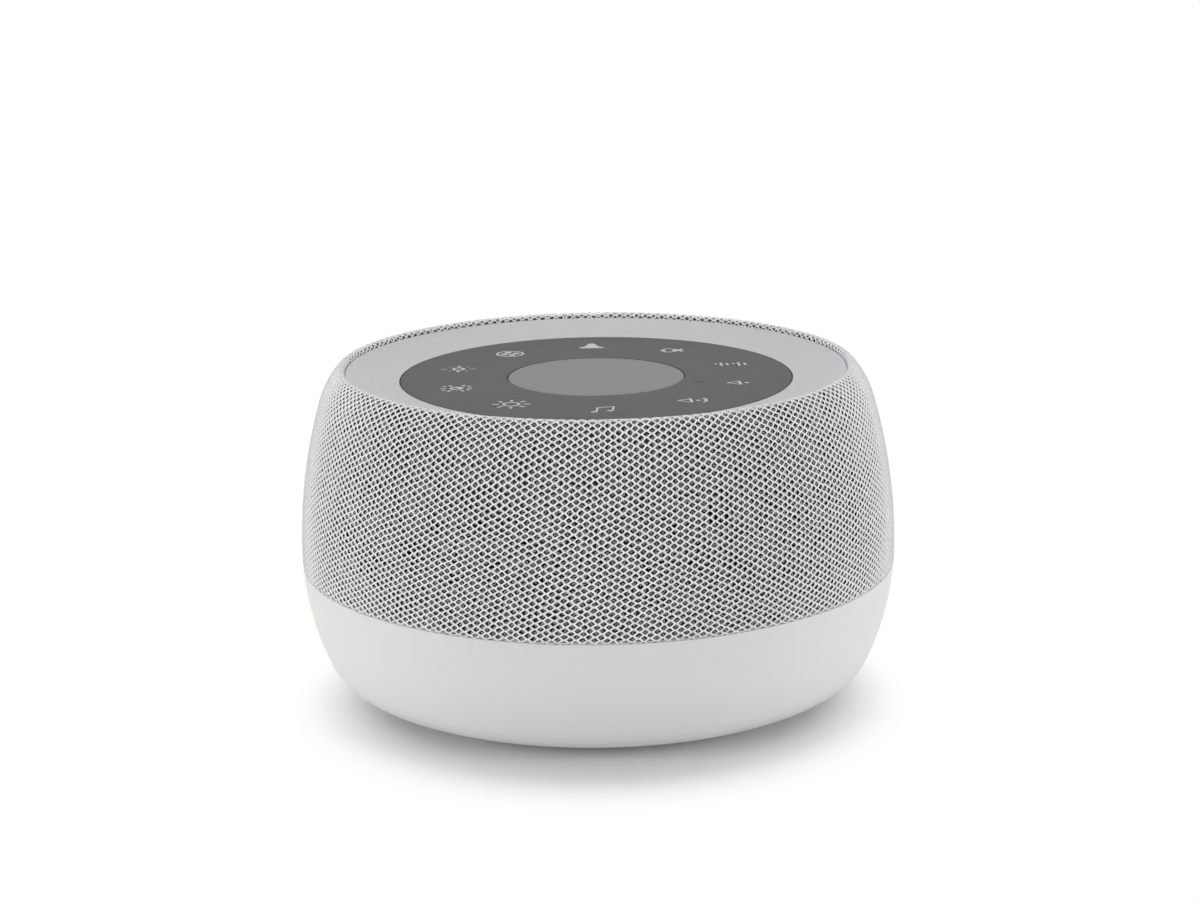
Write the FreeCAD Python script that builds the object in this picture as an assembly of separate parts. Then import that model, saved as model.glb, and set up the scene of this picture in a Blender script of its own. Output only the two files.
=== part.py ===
import FreeCAD, Part
import math
import os

# White noise sound machine: a squat round bedside machine with a knitted cover over a slotted
# frame, a white base bowl, and a sunken top with a frosted light ring, a flat touch panel and
# one round push key. All sizes are millimetres. +Z is up and the origin is on the table under
# the middle of the body. The front is -Y, and the power socket looks out at the back, +Y.

# Outer body
body_radius = 55.0
body_height = 60.3
widest_height = 26.0
seam_height = 23.8
upper_side_radius = 96.8
lower_side_radius = 48.0
crown_radius = 15.6
crown_angle = 16.8
rim_radius = 0.8
base_clearance = 1.2
corner_radius = 6.6
belly_radius = 32.0
belly_angle = 16.0

# Knitted cover
cover_thickness = 0.6
cover_gap = 0.05
cover_hem_width = 2.4
cover_leg_depth = 7.5

# Base bowl
base_wall = 2.2
base_lip_radius = 0.2
spigot_gap = 0.2
post_radius = 4.8
post_count = 3
post_first_angle = -90.0
screw_well_radius = 3.3
screw_seat_height = 12.0
post_hole_radius = 1.7
post_top_gap = 0.2

# Foot ring under the base
foot_outer_radius = 36.3
foot_width = 7.6
foot_groove_depth = 0.8
foot_side_gap = 0.2
foot_edge_chamfer = 0.4

# Slotted frame
frame_wall = 1.8
spigot_depth = 4.0
shoulder_ledge = 1.8
ledge_thickness = 2.4
ledge_reach = 3.9
flange_reach = 9.0
flange_thickness = 1.8
leg_thickness = 1.2
groove_depth = 5.0
slot_count = 40
slot_width = 3.6
slot_height = 6.6
slot_rows = 2
slot_row_gap = 1.8
slot_floor_gap = 3.0
flange_hole_radius = 1.7

# Top stack, measured down from the rim
top_sink = 2.9
ring_band_width = 10.0
panel_thickness = 1.6
panel_edge_chamfer = 0.2
panel_hole_chamfer = 0.08
tape_thickness = 0.2
pad_thickness = 0.1
touch_board_thickness = 0.8
deck_wall = 1.6
deck_depth = 5.3
deck_rim_width = 2.0
channel_wall = 1.6
ring_gap = 0.15
ring_thickness = 1.6
ring_rise = 1.95
ring_cover_gap = 0.12
ring_seat_step = 0.2
deck_screw_count = 4
deck_screw_angle = 45.0
deck_screw_rim_gap = 4.5
deck_boss_wall = 2.0

# Centre key and its switch
key_radius = 16.25
key_gap = 0.12
key_top_edge = 0.3
key_flange_width = 1.35
key_flange_thickness = 1.0
key_rest_gap = 0.1
key_travel = 0.5
key_pin_circle_radius = 12.5
key_pin_radius = 1.0
key_pin_gap = 0.1
key_pin_reach = 2.0
key_pin_count = 3
key_pad_radius = 3.0
well_gap = 1.4
switch_board_radius = 10.0
switch_board_thickness = 1.0
switch_screw_inset = 2.6
switch_size = 6.0
switch_roof = 0.65
plunger_radius = 1.65
plunger_collar_radius = 2.3
plunger_collar_height = 0.6
plunger_gap = 0.1
plunger_floor_gap = 0.1
plunger_rise = 0.5
dome_radius = 2.2
dome_thickness = 0.12

# Touch symbols' sensor pads, ten round the panel
pad_count = 10
pad_first_angle = 2.0
pad_radius = 5.0
board_edge_gap = 0.3
board_hole_gap = 0.8

# Small window for the indicator lamp
lens_radius = 1.1
lens_gap = 0.05
lens_circle_radius = 19.2
lens_angle = -17.0

# Light channel
lamp_board_thickness = 1.0
lamp_board_gap = 0.3
lamp_count = 16
lamp_length = 3.5
lamp_width = 2.8
lamp_height = 1.2
lamp_lead_angle = 73.0

# Loudspeaker, stacked down from its flange
speaker_flange_radius = 28.5
speaker_flange_thickness = 1.2
speaker_gasket_thickness = 0.8
speaker_flange_width = 3.9
speaker_screw_inset = 1.75
speaker_screw_count = 4
speaker_screw_angle = 45.0
speaker_screw_hole_gap = 0.3
baffle_thickness = 2.4
baffle_edge_gap = 0.3
baffle_boss_radius = 4.0
baffle_boss_drop = 4.6
baffle_boss_skin = 1.2
screw_end_gap = 0.4
basket_hole_gap = 0.4
basket_slope_reach = 7.0
basket_wall = 1.0
basket_depth = 12.8
basket_floor_hole = 9.2
basket_window_count = 4
basket_window_width = 12.0
basket_window_foot = 1.0
basket_window_head = 1.6
spider_ledge_height = 3.6
spider_ledge_width = 1.8
front_washer_radius = 16.0
front_washer_thickness = 2.0
magnet_radius = 18.0
magnet_thickness = 6.0
magnet_hole_radius = 9.6
yoke_thickness = 2.2
pole_radius = 7.4
pole_vent_radius = 2.0
coil_former_radius = 7.7
coil_former_wall = 0.2
coil_winding_wall = 0.35
coil_winding_height = 4.0
coil_below_washer = 1.8
coil_gap = 0.35
cone_stroke = 1.0
cone_thickness = 0.5
cone_edge_inset = 6.0
cone_edge_width = 1.4
cone_neck_radius = 8.4
cone_depth = 7.0
cap_rise = 2.6
surround_width = 3.6
surround_thickness = 0.5
surround_lip_width = 2.0
surround_flare_share = 0.6
spider_thickness = 0.4
spider_waves = 3
spider_wave_height = 0.35
spider_glue_gap = 0.05
terminal_angle = 56.0
terminal_width = 8.0
terminal_height = 5.0
terminal_thickness = 1.2
terminal_gap = 0.05

# Main board at the back of the bowl
board_side_gap = 4.87
board_post_gap = 1.45
board_thickness = 1.6
board_height = 8.6
board_tab_half_width = 7.0
board_tab_gap = 0.77
standoff_radius = 3.0
standoff_pilot_radius = 0.9
standoff_pilot_floor = 1.0
standoff_edge_inset = 3.8
standoff_middle_x = -9.0
standoff_front_inset = 3.0

# Flat parts on the main board: width, depth, height, then the place across and back as shares
# of the board's radius and of its depth
chip_sizes = (
    (5.5, 5.5, 0.9, 0.258, 0.34),
    (5.0, 5.0, 0.8, -0.36, 0.25),
    (5.0, 4.0, 1.4, -0.326, 0.727),
    (5.0, 4.0, 3.0, 0.056, 0.227),
)
capacitor_radius = 2.5
capacitor_height = 7.0
capacitor_edge = 0.4
capacitor_edge_inset = 3.4
capacitor_angles = (125.0, 58.0)

# Power socket, a flat oval of the small reversible kind
socket_width = 8.94
socket_height = 3.16
socket_wall = 0.3
socket_length = 7.4
socket_overhang = 1.6
tongue_width = 6.7
tongue_thickness = 0.7
tongue_length = 4.6
tongue_block_length = 2.4
port_width = 13.0
port_height = 7.4
port_corner = 3.0

# Wires inside
ribbon_half_width = 6.0
ribbon_thickness = 0.3
ribbon_well_gap = 5.4
ribbon_speaker_gap = 5.5
ribbon_side_gap = 1.0
ribbon_bend_radius = 3.0
ribbon_jog_top = 44.0
ribbon_jog_low = 36.0
ribbon_seat = 1.0
connector_depth = 3.6
connector_height = 3.0
connector_end_wall = 1.0
connector_drop = 0.6
window_end_gap = 1.5
window_side_gap = 1.2
lead_radius = 0.8
lead_reach = 4.5
lead_low_step = 0.6
lamp_lead_low_inset = 3.1
lamp_lead_low_angle = 66.5
lamp_lead_jog_top = 42.5
lamp_lead_jog_low = 34.5
speaker_lead_shares = (0.463, 0.512)
speaker_plug_inset = 2.9
lead_spread = 1.4
plug_height = 4.0
plug_depth = 4.0
plug_side_wall = 0.9
grommet_wall = 0.9
grommet_lip = 0.8
wire_gap = 0.1

# Screws: shank radius, head radius, head height
long_screw_size = (1.4, 2.8, 2.2)
deck_screw_size = (1.2, 2.3, 1.6)
speaker_screw_size = (1.2, 2.2, 1.4)
board_screw_size = (0.85, 1.8, 1.2)
screw_fit_gap = 0.05
cross_width = 0.5
cross_depth = 0.7
cross_length_share = 1.2

FULL_TURN = 360.0
HALF_TURN = 180.0
QUARTER_TURN = 90.0
CUT_MARGIN = 1.0
ARC_SHARE = 0.45
SAME_POINT = 1e-6

Z_AXIS = FreeCAD.Vector(0, 0, 1)
ORIGIN = FreeCAD.Vector(0, 0, 0)

# Heights worked out from the sizes above
upper_centre = (body_radius - upper_side_radius, widest_height)
lower_centre = (body_radius - lower_side_radius, widest_height)
crown_turn = math.radians(crown_angle)
crown_centre = (
    upper_centre[0] + (upper_side_radius - crown_radius) * math.cos(crown_turn),
    upper_centre[1] + (upper_side_radius - crown_radius) * math.sin(crown_turn),
)
rim_centre_z = body_height - rim_radius
rim_centre_r = crown_centre[0] + math.sqrt(
    (crown_radius - rim_radius) ** 2 - (rim_centre_z - crown_centre[1]) ** 2
)
rim_angle = math.degrees(math.atan2(rim_centre_z - crown_centre[1], rim_centre_r - crown_centre[0]))
cover_leg_r = rim_centre_r - rim_radius
panel_radius = cover_leg_r - ring_band_width

corner_z = base_clearance + belly_radius - (belly_radius - corner_radius) * math.cos(
    math.radians(belly_angle)
)
corner_r = lower_centre[0] + math.sqrt(
    (lower_side_radius - corner_radius) ** 2 - (widest_height - corner_z) ** 2
)
belly_r = corner_r - (belly_radius - corner_radius) * math.sin(math.radians(belly_angle))
corner_end_angle = -math.degrees(math.atan2(widest_height - corner_z, corner_r - lower_centre[0]))
base_floor_z = base_clearance + base_wall
foot_top_z = base_clearance + foot_groove_depth
foot_inner_radius = foot_outer_radius - foot_width
post_circle_radius = foot_outer_radius - foot_width / 2

shoulder_z = seam_height + cover_thickness + cover_gap
ledge_top_z = shoulder_z + shoulder_ledge
spigot_bottom_z = seam_height - spigot_depth
baffle_bottom_z = ledge_top_z
baffle_top_z = baffle_bottom_z + baffle_thickness
baffle_boss_z = baffle_bottom_z - baffle_boss_drop
post_top_z = baffle_boss_z - post_top_gap

panel_top_z = body_height - top_sink
panel_bottom_z = panel_top_z - panel_thickness
pad_top_z = panel_bottom_z - tape_thickness
touch_board_top_z = pad_top_z - pad_thickness
deck_top_z = touch_board_top_z - touch_board_thickness
deck_plate_bottom_z = deck_top_z - deck_wall
deck_bottom_z = deck_top_z - deck_depth
deck_floor_z = deck_bottom_z + deck_wall
flange_top_z = deck_bottom_z
flange_bottom_z = flange_top_z - flange_thickness

key_flange_radius = key_radius + key_flange_width
well_radius = key_flange_radius + well_gap
ring_inner_radius = panel_radius + ring_gap
ring_outer_radius = cover_leg_r - ring_cover_gap
deck_rim_outer = panel_radius + deck_rim_width
flange_inner_radius = deck_rim_outer - flange_reach
channel_outer = ring_outer_radius - channel_wall
ring_span = ring_outer_radius - ring_inner_radius
ring_curve_radius = (ring_span ** 2 + ring_rise ** 2) / (2 * ring_rise)
ring_seat_z = panel_top_z + ring_rise - ring_thickness
touch_board_radius = panel_radius - board_edge_gap
touch_board_hole_radius = key_flange_radius + board_hole_gap
pad_circle_radius = (touch_board_radius + touch_board_hole_radius) / 2
ribbon_top_y = well_radius + deck_wall + ribbon_well_gap
ribbon_low_y = speaker_flange_radius + ribbon_speaker_gap

switch_floor_z = deck_floor_z + switch_board_thickness
key_flange_top_z = panel_bottom_z - key_rest_gap
key_flange_bottom_z = key_flange_top_z - key_flange_thickness
plunger_bottom_z = switch_floor_z + plunger_floor_gap + key_travel
switch_top_z = plunger_bottom_z + plunger_collar_height + plunger_gap + switch_roof
plunger_top_z = switch_top_z + plunger_rise

speaker_hole_radius = speaker_flange_radius - speaker_flange_width
speaker_screw_circle_radius = speaker_flange_radius - speaker_screw_inset
basket_top_radius = speaker_hole_radius - basket_hole_gap
basket_foot_radius = basket_top_radius - basket_slope_reach
cone_edge_radius = basket_top_radius - cone_edge_inset
speaker_seat_z = baffle_top_z + speaker_gasket_thickness
speaker_face_z = speaker_seat_z + speaker_flange_thickness
basket_floor_z = speaker_seat_z - basket_depth
front_washer_z = basket_floor_z - front_washer_thickness
magnet_z = front_washer_z - magnet_thickness
yoke_z = magnet_z - yoke_thickness
coil_bottom_z = front_washer_z - coil_below_washer + cone_stroke
cone_neck_z = speaker_face_z - cone_depth
basket_lean = math.atan2(
    speaker_seat_z - basket_floor_z - basket_wall,
    basket_top_radius - basket_foot_radius,
)
spider_z = basket_floor_z + spider_ledge_height

board_top_z = board_height + board_thickness
plug_top_z = board_top_z + plug_height
touch_connector_z = deck_plate_bottom_z - connector_drop
socket_middle_z = board_top_z + socket_height / 2


def polar(radius, angle):
    """A point on a circle about the Z axis."""
    turn = math.radians(angle)
    return radius * math.cos(turn), radius * math.sin(turn)


def ring_of(shape, count, first_angle=0.0):
    """Copies of a shape, evenly turned about the Z axis."""
    copies = []
    for number in range(count):
        copy = shape.copy()
        copy.rotate(ORIGIN, Z_AXIS, first_angle + number * FULL_TURN / count)
        copies.append(copy)
    return copies


def on_circle(centre, radius, angle):
    """A point of an outline, as radius and height, on a circle about another such point."""
    turn = math.radians(angle)
    return centre[0] + radius * math.cos(turn), centre[1] + radius * math.sin(turn)


def arc_step(centre, radius, first, last):
    """One arc of an outline: its middle point and its end point."""
    return (
        on_circle(centre, radius, (first + last) / 2),
        on_circle(centre, radius, last),
    )


def side_point(height, inset=0.0):
    """The body's side at a height, a distance inside its outer surface."""
    centre, radius = side_circle(height, inset)
    return centre[0] + math.sqrt(radius ** 2 - (height - centre[1]) ** 2), height


def side_circle(height, inset):
    """The circle that the body's side follows at a height: the lower, the upper or the crown's."""
    if height >= crown_start(inset):
        return crown_centre, crown_radius - inset
    if height >= widest_height:
        return upper_centre, upper_side_radius - inset
    return lower_centre, lower_side_radius - inset


def crown_start(inset):
    """The height where the side turns into the crown, a distance inside its outer surface."""
    return on_circle(upper_centre, upper_side_radius - inset, crown_angle)[1]


def rim_start(inset):
    """The height where the crown turns into the rim, a distance inside its outer surface."""
    return on_circle(crown_centre, crown_radius - inset, rim_angle)[1]


def side_steps(start, end, inset=0.0):
    """Arcs along the body's side between two heights."""
    turns = [z for z in (widest_height, crown_start(inset)) if min(start, end) < z < max(start, end)]
    stops = sorted([start, end] + turns, reverse=start > end)
    steps = []
    for low, high in zip(stops, stops[1:]):
        centre, radius = side_circle((low + high) / 2, inset)
        angles = [math.degrees(math.asin((z - centre[1]) / radius)) for z in (low, high)]
        steps.append(arc_step(centre, radius, *angles))
    return steps


def base_steps(inset, top):
    """The bowl's outline from its axis out and up to a height, a distance inside its surface."""
    side_centre, side_radius = lower_centre, lower_side_radius - inset
    top_angle = math.degrees(math.asin((top - side_centre[1]) / side_radius))
    belly_centre = (belly_r, base_clearance + belly_radius)
    belly_end = belly_angle - QUARTER_TURN
    return [
        (belly_r, base_clearance + inset),
        arc_step(belly_centre, belly_radius - inset, -QUARTER_TURN, belly_end),
        arc_step((corner_r, corner_z), corner_radius - inset, belly_end, corner_end_angle),
        arc_step(side_centre, side_radius, corner_end_angle, top_angle),
    ]


def rim_step(inset, first, last):
    """The arc over the rolled rim."""
    return arc_step((rim_centre_r, rim_centre_z), rim_radius - inset, first, last)


def edges_of(start, steps, to_point):
    """Edges of a closed outline. A step is a point, or an arc's middle and end."""
    edges = []
    here = start
    for step in list(steps) + [start]:
        if isinstance(step[0], tuple):
            middle, end = step
            edges.append(Part.Arc(to_point(here), to_point(middle), to_point(end)).toShape())
        else:
            end = step
            if math.dist(here, end) > SAME_POINT:
                edges.append(Part.LineSegment(to_point(here), to_point(end)).toShape())
        here = end
    return edges


def turned(start, *steps):
    """A solid of revolution about the Z axis from a closed outline of radii and heights."""
    edges = edges_of(start, steps, lambda p: FreeCAD.Vector(p[0], 0, p[1]))
    face = Part.Face(Part.Wire(edges))
    return face.revolve(ORIGIN, Z_AXIS, FULL_TURN)


def disc(radius, bottom, thickness, x=0.0, y=0.0):
    """A round plate or pin."""
    return Part.makeCylinder(radius, thickness, FreeCAD.Vector(x, y, bottom))


def hole(radius, bottom, thickness, x=0.0, y=0.0):
    """A round cutter that runs past both faces of a wall."""
    return disc(radius, bottom - CUT_MARGIN, thickness + 2 * CUT_MARGIN, x, y)


def post(radius, bottom, top, x, y):
    """An upright round post between two heights."""
    return disc(radius, bottom, top - bottom, x, y)


def ring(outer, inner, bottom, thickness):
    """A flat ring about the Z axis."""
    return disc(outer, bottom, thickness).cut(hole(inner, bottom, thickness))


def block(x_size, y_size, z_size, x, y, bottom):
    """A box centred on x and y, standing on a height."""
    corner = FreeCAD.Vector(x - x_size / 2, y - y_size / 2, bottom)
    return Part.makeBox(x_size, y_size, z_size, corner)


def plate(start, steps, bottom, thickness):
    """A flat plate from an outline in x and y."""
    edges = edges_of(start, steps, lambda p: FreeCAD.Vector(p[0], p[1], bottom))
    return Part.Face(Part.Wire(edges)).extrude(FreeCAD.Vector(0, 0, thickness))


def rounded_bar(width, height, corner, middle_z, y_start, y_end):
    """A bar along Y with rounded corners, such as a socket's shell or a port's window."""
    half_w = width / 2 - corner
    half_h = height / 2 - corner
    steps = []
    for number, (x_side, z_side) in enumerate(((1, 1), (-1, 1), (-1, -1), (1, -1))):
        centre = (x_side * half_w, middle_z + z_side * half_h)
        angle = number * QUARTER_TURN
        steps.append(on_circle(centre, corner, angle))
        steps.append(arc_step(centre, corner, angle, angle + QUARTER_TURN))
    edges = edges_of(steps[0], steps[1:], lambda p: FreeCAD.Vector(p[0], y_start, p[1]))
    return Part.Face(Part.Wire(edges)).extrude(FreeCAD.Vector(0, y_end - y_start, 0))


def screw(size, shank_length, x, y, seat, point_up=True):
    """A cross-head screw whose head bears on a height, with its point above or below it."""
    shank_radius, head_radius, head_height = size
    body = disc(shank_radius, 0, shank_length).fuse(disc(head_radius, -head_height, head_height))
    length = head_radius * cross_length_share
    for x_size, y_size in ((cross_width, length), (length, cross_width)):
        body = body.cut(block(x_size, y_size, cross_depth + CUT_MARGIN, 0, 0, -head_height - CUT_MARGIN))
    if not point_up:
        body.rotate(ORIGIN, FreeCAD.Vector(1, 0, 0), HALF_TURN)
    body.translate(FreeCAD.Vector(x, y, seat))
    return body


def wire_path(points):
    """A path of straight runs joined by arcs, each as large as its two runs allow."""
    points = [FreeCAD.Vector(*p) for p in points]
    edges = []
    here = points[0]
    radii = []
    for before, corner, after in zip(points, points[1:], points[2:]):
        back = (before - corner).normalize()
        ahead = (after - corner).normalize()
        half_turn = (math.pi - back.getAngle(ahead)) / 2
        reach = ARC_SHARE * min((corner - before).Length, (after - corner).Length)
        radius = reach / math.tan(half_turn)
        radii.append(round(radius, 1))
        start = corner + back * reach
        end = corner + ahead * reach
        towards = (back + ahead).normalize()
        middle = corner + towards * (radius / math.cos(half_turn) - radius)
        edges.append(Part.LineSegment(here, start).toShape())
        edges.append(Part.Arc(start, middle, end).toShape())
        here = end
    edges.append(Part.LineSegment(here, points[-1]).toShape())
    return Part.Wire(edges), radii


def lead(points, name):
    """A round wire swept along its path."""
    path, radii = wire_path(points)
    direction = FreeCAD.Vector(*points[1]) - FreeCAD.Vector(*points[0])
    circle = Part.Circle(FreeCAD.Vector(*points[0]), direction, lead_radius).toShape()
    solid = path.makePipeShell([Part.Wire([circle])], True, False)
    expected = math.pi * lead_radius ** 2 * path.Length
    share = solid.Volume / expected
    print(f"{name}: length {path.Length:.1f}, bend radii {radii}, volume over expected {share:.4f}")
    return solid


# The main board's outline and what stands on it, inside the bowl's wall

bowl_inside_r = side_point(board_height, base_wall)[0]
board_radius = bowl_inside_r - board_side_gap
board_tab_reach = bowl_inside_r - board_tab_gap
board_front = polar(post_circle_radius, post_first_angle + FULL_TURN / post_count)[1]
board_front += post_radius + board_post_gap
board_depth = board_radius - board_front
socket_mouth_y = board_tab_reach + socket_overhang
standoff_y = board_front + standoff_front_inset
standoff_x = math.sqrt((board_radius - standoff_edge_inset) ** 2 - standoff_y ** 2)
standoff_spots = [(x, standoff_y) for x in (-standoff_x, standoff_middle_x, standoff_x)]
capacitor_spots = [polar(board_radius - capacitor_edge_inset, angle) for angle in capacitor_angles]
lamp_lead_low = polar(board_radius - lamp_lead_low_inset, lamp_lead_low_angle)
speaker_lead_low = [(x * board_radius, board_front + speaker_plug_inset) for x in speaker_lead_shares]


# Casing

def post_spots():
    """Where the three long screws stand."""
    step = FULL_TURN / post_count
    return [polar(post_circle_radius, post_first_angle + n * step) for n in range(post_count)]


def base_shell():
    """The white bowl, with its screw posts, its board posts and the window for the socket."""
    inner_top = side_point(seam_height, base_wall)
    inner = base_steps(base_wall, seam_height)
    lip_z = seam_height - base_lip_radius
    lip_centre = (side_point(lip_z)[0] - base_lip_radius, lip_z)
    lip = arc_step(lip_centre, base_lip_radius, 0, QUARTER_TURN)
    bowl = turned((0, base_clearance), *base_steps(0, lip_z), lip, inner_top, (0, seam_height))
    hollow = turned((0, base_floor_z), *inner, (inner_top[0], seam_height + CUT_MARGIN),
                    (0, seam_height + CUT_MARGIN))
    shell = bowl.cut(hollow)
    root_z = base_floor_z - base_wall / 2
    posts = [post(post_radius, root_z, post_top_z, x, y) for x, y in post_spots()]
    posts += [post(standoff_radius, root_z, board_height, x, y) for x, y in standoff_spots]
    shell = shell.fuse(posts)
    groove_z = base_clearance - CUT_MARGIN
    groove_outer = foot_outer_radius + foot_side_gap
    groove_inner = foot_inner_radius - foot_side_gap
    cuts = [ring(groove_outer, groove_inner, groove_z, foot_top_z - groove_z)]
    for x, y in post_spots():
        cuts.append(post(screw_well_radius, 0, screw_seat_height, x, y))
        cuts.append(post(post_hole_radius, 0, body_height, x, y))
    for x, y in standoff_spots:
        cuts.append(post(standoff_pilot_radius, base_floor_z + standoff_pilot_floor, body_height, x, y))
    inside_y = side_point(socket_middle_z, base_wall)[0] - port_height
    outside_y = body_radius + CUT_MARGIN
    cuts.append(rounded_bar(port_width, port_height, port_corner, socket_middle_z, inside_y, outside_y))
    return shell.cut(cuts).removeSplitter()


def foot_ring():
    """The soft ring that the machine stands on, set in a groove over the long screws."""
    return turned(
        (foot_inner_radius, foot_top_z),
        (foot_inner_radius, foot_edge_chamfer),
        (foot_inner_radius + foot_edge_chamfer, 0),
        (foot_outer_radius - foot_edge_chamfer, 0),
        (foot_outer_radius, foot_edge_chamfer),
        (foot_outer_radius, foot_top_z),
    )


def base_screws():
    """The three long screws that pull the baffle, and the frame under it, down on the bowl."""
    length = baffle_top_z - baffle_boss_skin - screw_end_gap - screw_seat_height
    return [screw(long_screw_size, length, x, y, screw_seat_height) for x, y in post_spots()]


def slot(bottom, angle):
    """One upright slot with round ends, cut through the frame's wall."""
    half = slot_width / 2
    low = (0, bottom + half)
    high = (0, bottom + slot_height - half)
    inner_x = channel_outer
    steps = [arc_step(high, half, 0, HALF_TURN), (-half, low[1]), arc_step(low, half, HALF_TURN, FULL_TURN)]
    edges = edges_of((half, high[1]), steps, lambda p: FreeCAD.Vector(inner_x, p[0], p[1]))
    prism = Part.Face(Part.Wire(edges)).extrude(FreeCAD.Vector(body_radius - inner_x + CUT_MARGIN, 0, 0))
    prism.rotate(ORIGIN, Z_AXIS, angle)
    return prism


def grille_frame():
    """The slotted barrel that holds the cover out, with a ledge for the baffle and a top flange."""
    inset = cover_thickness + cover_gap
    inner = inset + frame_wall
    spigot_outer = side_point(spigot_bottom_z, base_wall)[0] - spigot_gap
    ledge_inner_radius = spigot_outer - frame_wall - ledge_reach
    leg_r = cover_leg_r + inset
    groove_top = flange_bottom_z + groove_depth
    frame = turned(
        (spigot_outer, spigot_bottom_z),
        (spigot_outer, shoulder_z),
        side_point(shoulder_z, inset),
        *side_steps(shoulder_z, rim_start(inset), inset),
        rim_step(inset, rim_angle, HALF_TURN),
        (leg_r, flange_top_z),
        (flange_inner_radius, flange_top_z),
        (flange_inner_radius, flange_bottom_z),
        (leg_r + leg_thickness, flange_bottom_z),
        (leg_r + leg_thickness, groove_top),
        side_point(groove_top, inner),
        *side_steps(groove_top, ledge_top_z, inner),
        (ledge_inner_radius, ledge_top_z),
        (ledge_inner_radius, ledge_top_z - ledge_thickness),
        (spigot_outer - frame_wall, ledge_top_z - ledge_thickness),
        (spigot_outer - frame_wall, spigot_bottom_z),
    )
    cuts = []
    step = FULL_TURN / slot_count
    for row in range(slot_rows):
        bottom = baffle_top_z + slot_floor_gap + row * (slot_height + slot_row_gap)
        for number in range(slot_count):
            cuts.append(slot(bottom, (number + row / 2) * step))
    for x, y in deck_screw_spots():
        cuts.append(hole(flange_hole_radius, flange_bottom_z, flange_thickness, x, y))
    cuts.append(lamp_lead_hole(flange_bottom_z, flange_thickness))
    width = 2 * (ribbon_half_width + ribbon_side_gap)
    depth = ribbon_thickness + 2 * ribbon_side_gap
    height = flange_thickness + 2 * CUT_MARGIN
    cuts.append(block(width, depth, height, 0, ribbon_top_y, flange_bottom_z - CUT_MARGIN))
    return frame.cut(cuts)


def fabric_sleeve():
    """The knitted cover: its hem is folded in over the bowl's edge, and its top over the rim."""
    hem_r = side_point(seam_height)[0] - cover_hem_width
    hem_top = seam_height + cover_thickness
    leg_bottom = body_height - cover_leg_depth
    return turned(
        side_point(seam_height),
        *side_steps(seam_height, rim_start(0)),
        rim_step(0, rim_angle, HALF_TURN),
        (cover_leg_r, leg_bottom),
        (cover_leg_r + cover_thickness, leg_bottom),
        (cover_leg_r + cover_thickness, rim_centre_z),
        rim_step(cover_thickness, HALF_TURN, rim_angle),
        *side_steps(rim_start(cover_thickness), hem_top, cover_thickness),
        (hem_r, hem_top),
        (hem_r, seam_height),
    )


# Top: deck, light ring, touch panel

def deck_screw_spots():
    """Four screws hold the deck to the frame's top flange."""
    radius = deck_rim_outer - deck_screw_rim_gap
    step = FULL_TURN / deck_screw_count
    return [polar(radius, deck_screw_angle + n * step) for n in range(deck_screw_count)]


def control_deck():
    """The deck that carries the touch board, the key's well and the light channel."""
    deck = turned(
        (0, deck_bottom_z),
        (well_radius + deck_wall, deck_bottom_z),
        (well_radius + deck_wall, deck_plate_bottom_z),
        (deck_rim_outer - channel_wall, deck_plate_bottom_z),
        (deck_rim_outer - channel_wall, deck_bottom_z),
        (ring_outer_radius, deck_bottom_z),
        (ring_outer_radius, ring_seat_z),
        (channel_outer, ring_seat_z),
        (channel_outer, deck_floor_z),
        (deck_rim_outer, deck_floor_z),
        (deck_rim_outer, panel_bottom_z),
        (touch_board_radius + board_edge_gap, panel_bottom_z),
        (touch_board_radius + board_edge_gap, deck_top_z),
        (well_radius, deck_top_z),
        (well_radius, deck_floor_z),
        (0, deck_floor_z),
    )
    pilot = deck_screw_size[0] + screw_fit_gap
    boss_top_z = deck_plate_bottom_z + deck_wall / 2
    spots = deck_screw_spots()
    deck = deck.fuse([post(pilot + deck_boss_wall, deck_bottom_z, boss_top_z, x, y) for x, y in spots])
    cuts = [post(pilot, deck_bottom_z - CUT_MARGIN, boss_top_z, x, y) for x, y in spots]
    for x, y in key_pin_spots():
        cuts.append(hole(key_pin_radius + key_pin_gap, deck_bottom_z, deck_wall, x, y))
    for x, y in switch_screw_spots():
        cuts.append(hole(board_screw_size[0] + screw_fit_gap, deck_bottom_z, deck_wall, x, y))
    width, depth = connector_window()
    window_z = deck_plate_bottom_z - CUT_MARGIN
    cuts.append(block(width, depth, deck_wall + 2 * CUT_MARGIN, 0, ribbon_top_y, window_z))
    cuts.append(lamp_lead_hole(deck_bottom_z, deck_wall))
    return deck.cut(cuts).removeSplitter()


def light_ring():
    """The frosted ring: level beside the panel, and curving up to the cover at its outer edge."""
    curve_centre = (ring_inner_radius, panel_top_z + ring_curve_radius)
    outer_angle = math.degrees(math.asin(ring_span / ring_curve_radius)) - QUARTER_TURN
    seat_r = channel_outer - ring_seat_step
    low_radius = ring_curve_radius + ring_thickness
    low_end = math.degrees(math.asin((seat_r - ring_inner_radius) / low_radius)) - QUARTER_TURN
    low_start = math.degrees(
        math.asin((deck_rim_outer + ring_seat_step - ring_inner_radius) / low_radius)
    ) - QUARTER_TURN
    return turned(
        (ring_inner_radius, panel_bottom_z),
        (ring_inner_radius, panel_top_z),
        arc_step(curve_centre, ring_curve_radius, -QUARTER_TURN, outer_angle),
        (ring_outer_radius, ring_seat_z),
        (seat_r, ring_seat_z),
        on_circle(curve_centre, low_radius, low_end),
        arc_step(curve_centre, low_radius, low_end, low_start),
        (deck_rim_outer + ring_seat_step, panel_bottom_z),
    )


def lamp_lead_spot():
    """Where the lamp board's lead goes down through the deck."""
    return polar((deck_rim_outer + channel_outer) / 2, lamp_lead_angle)


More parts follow.
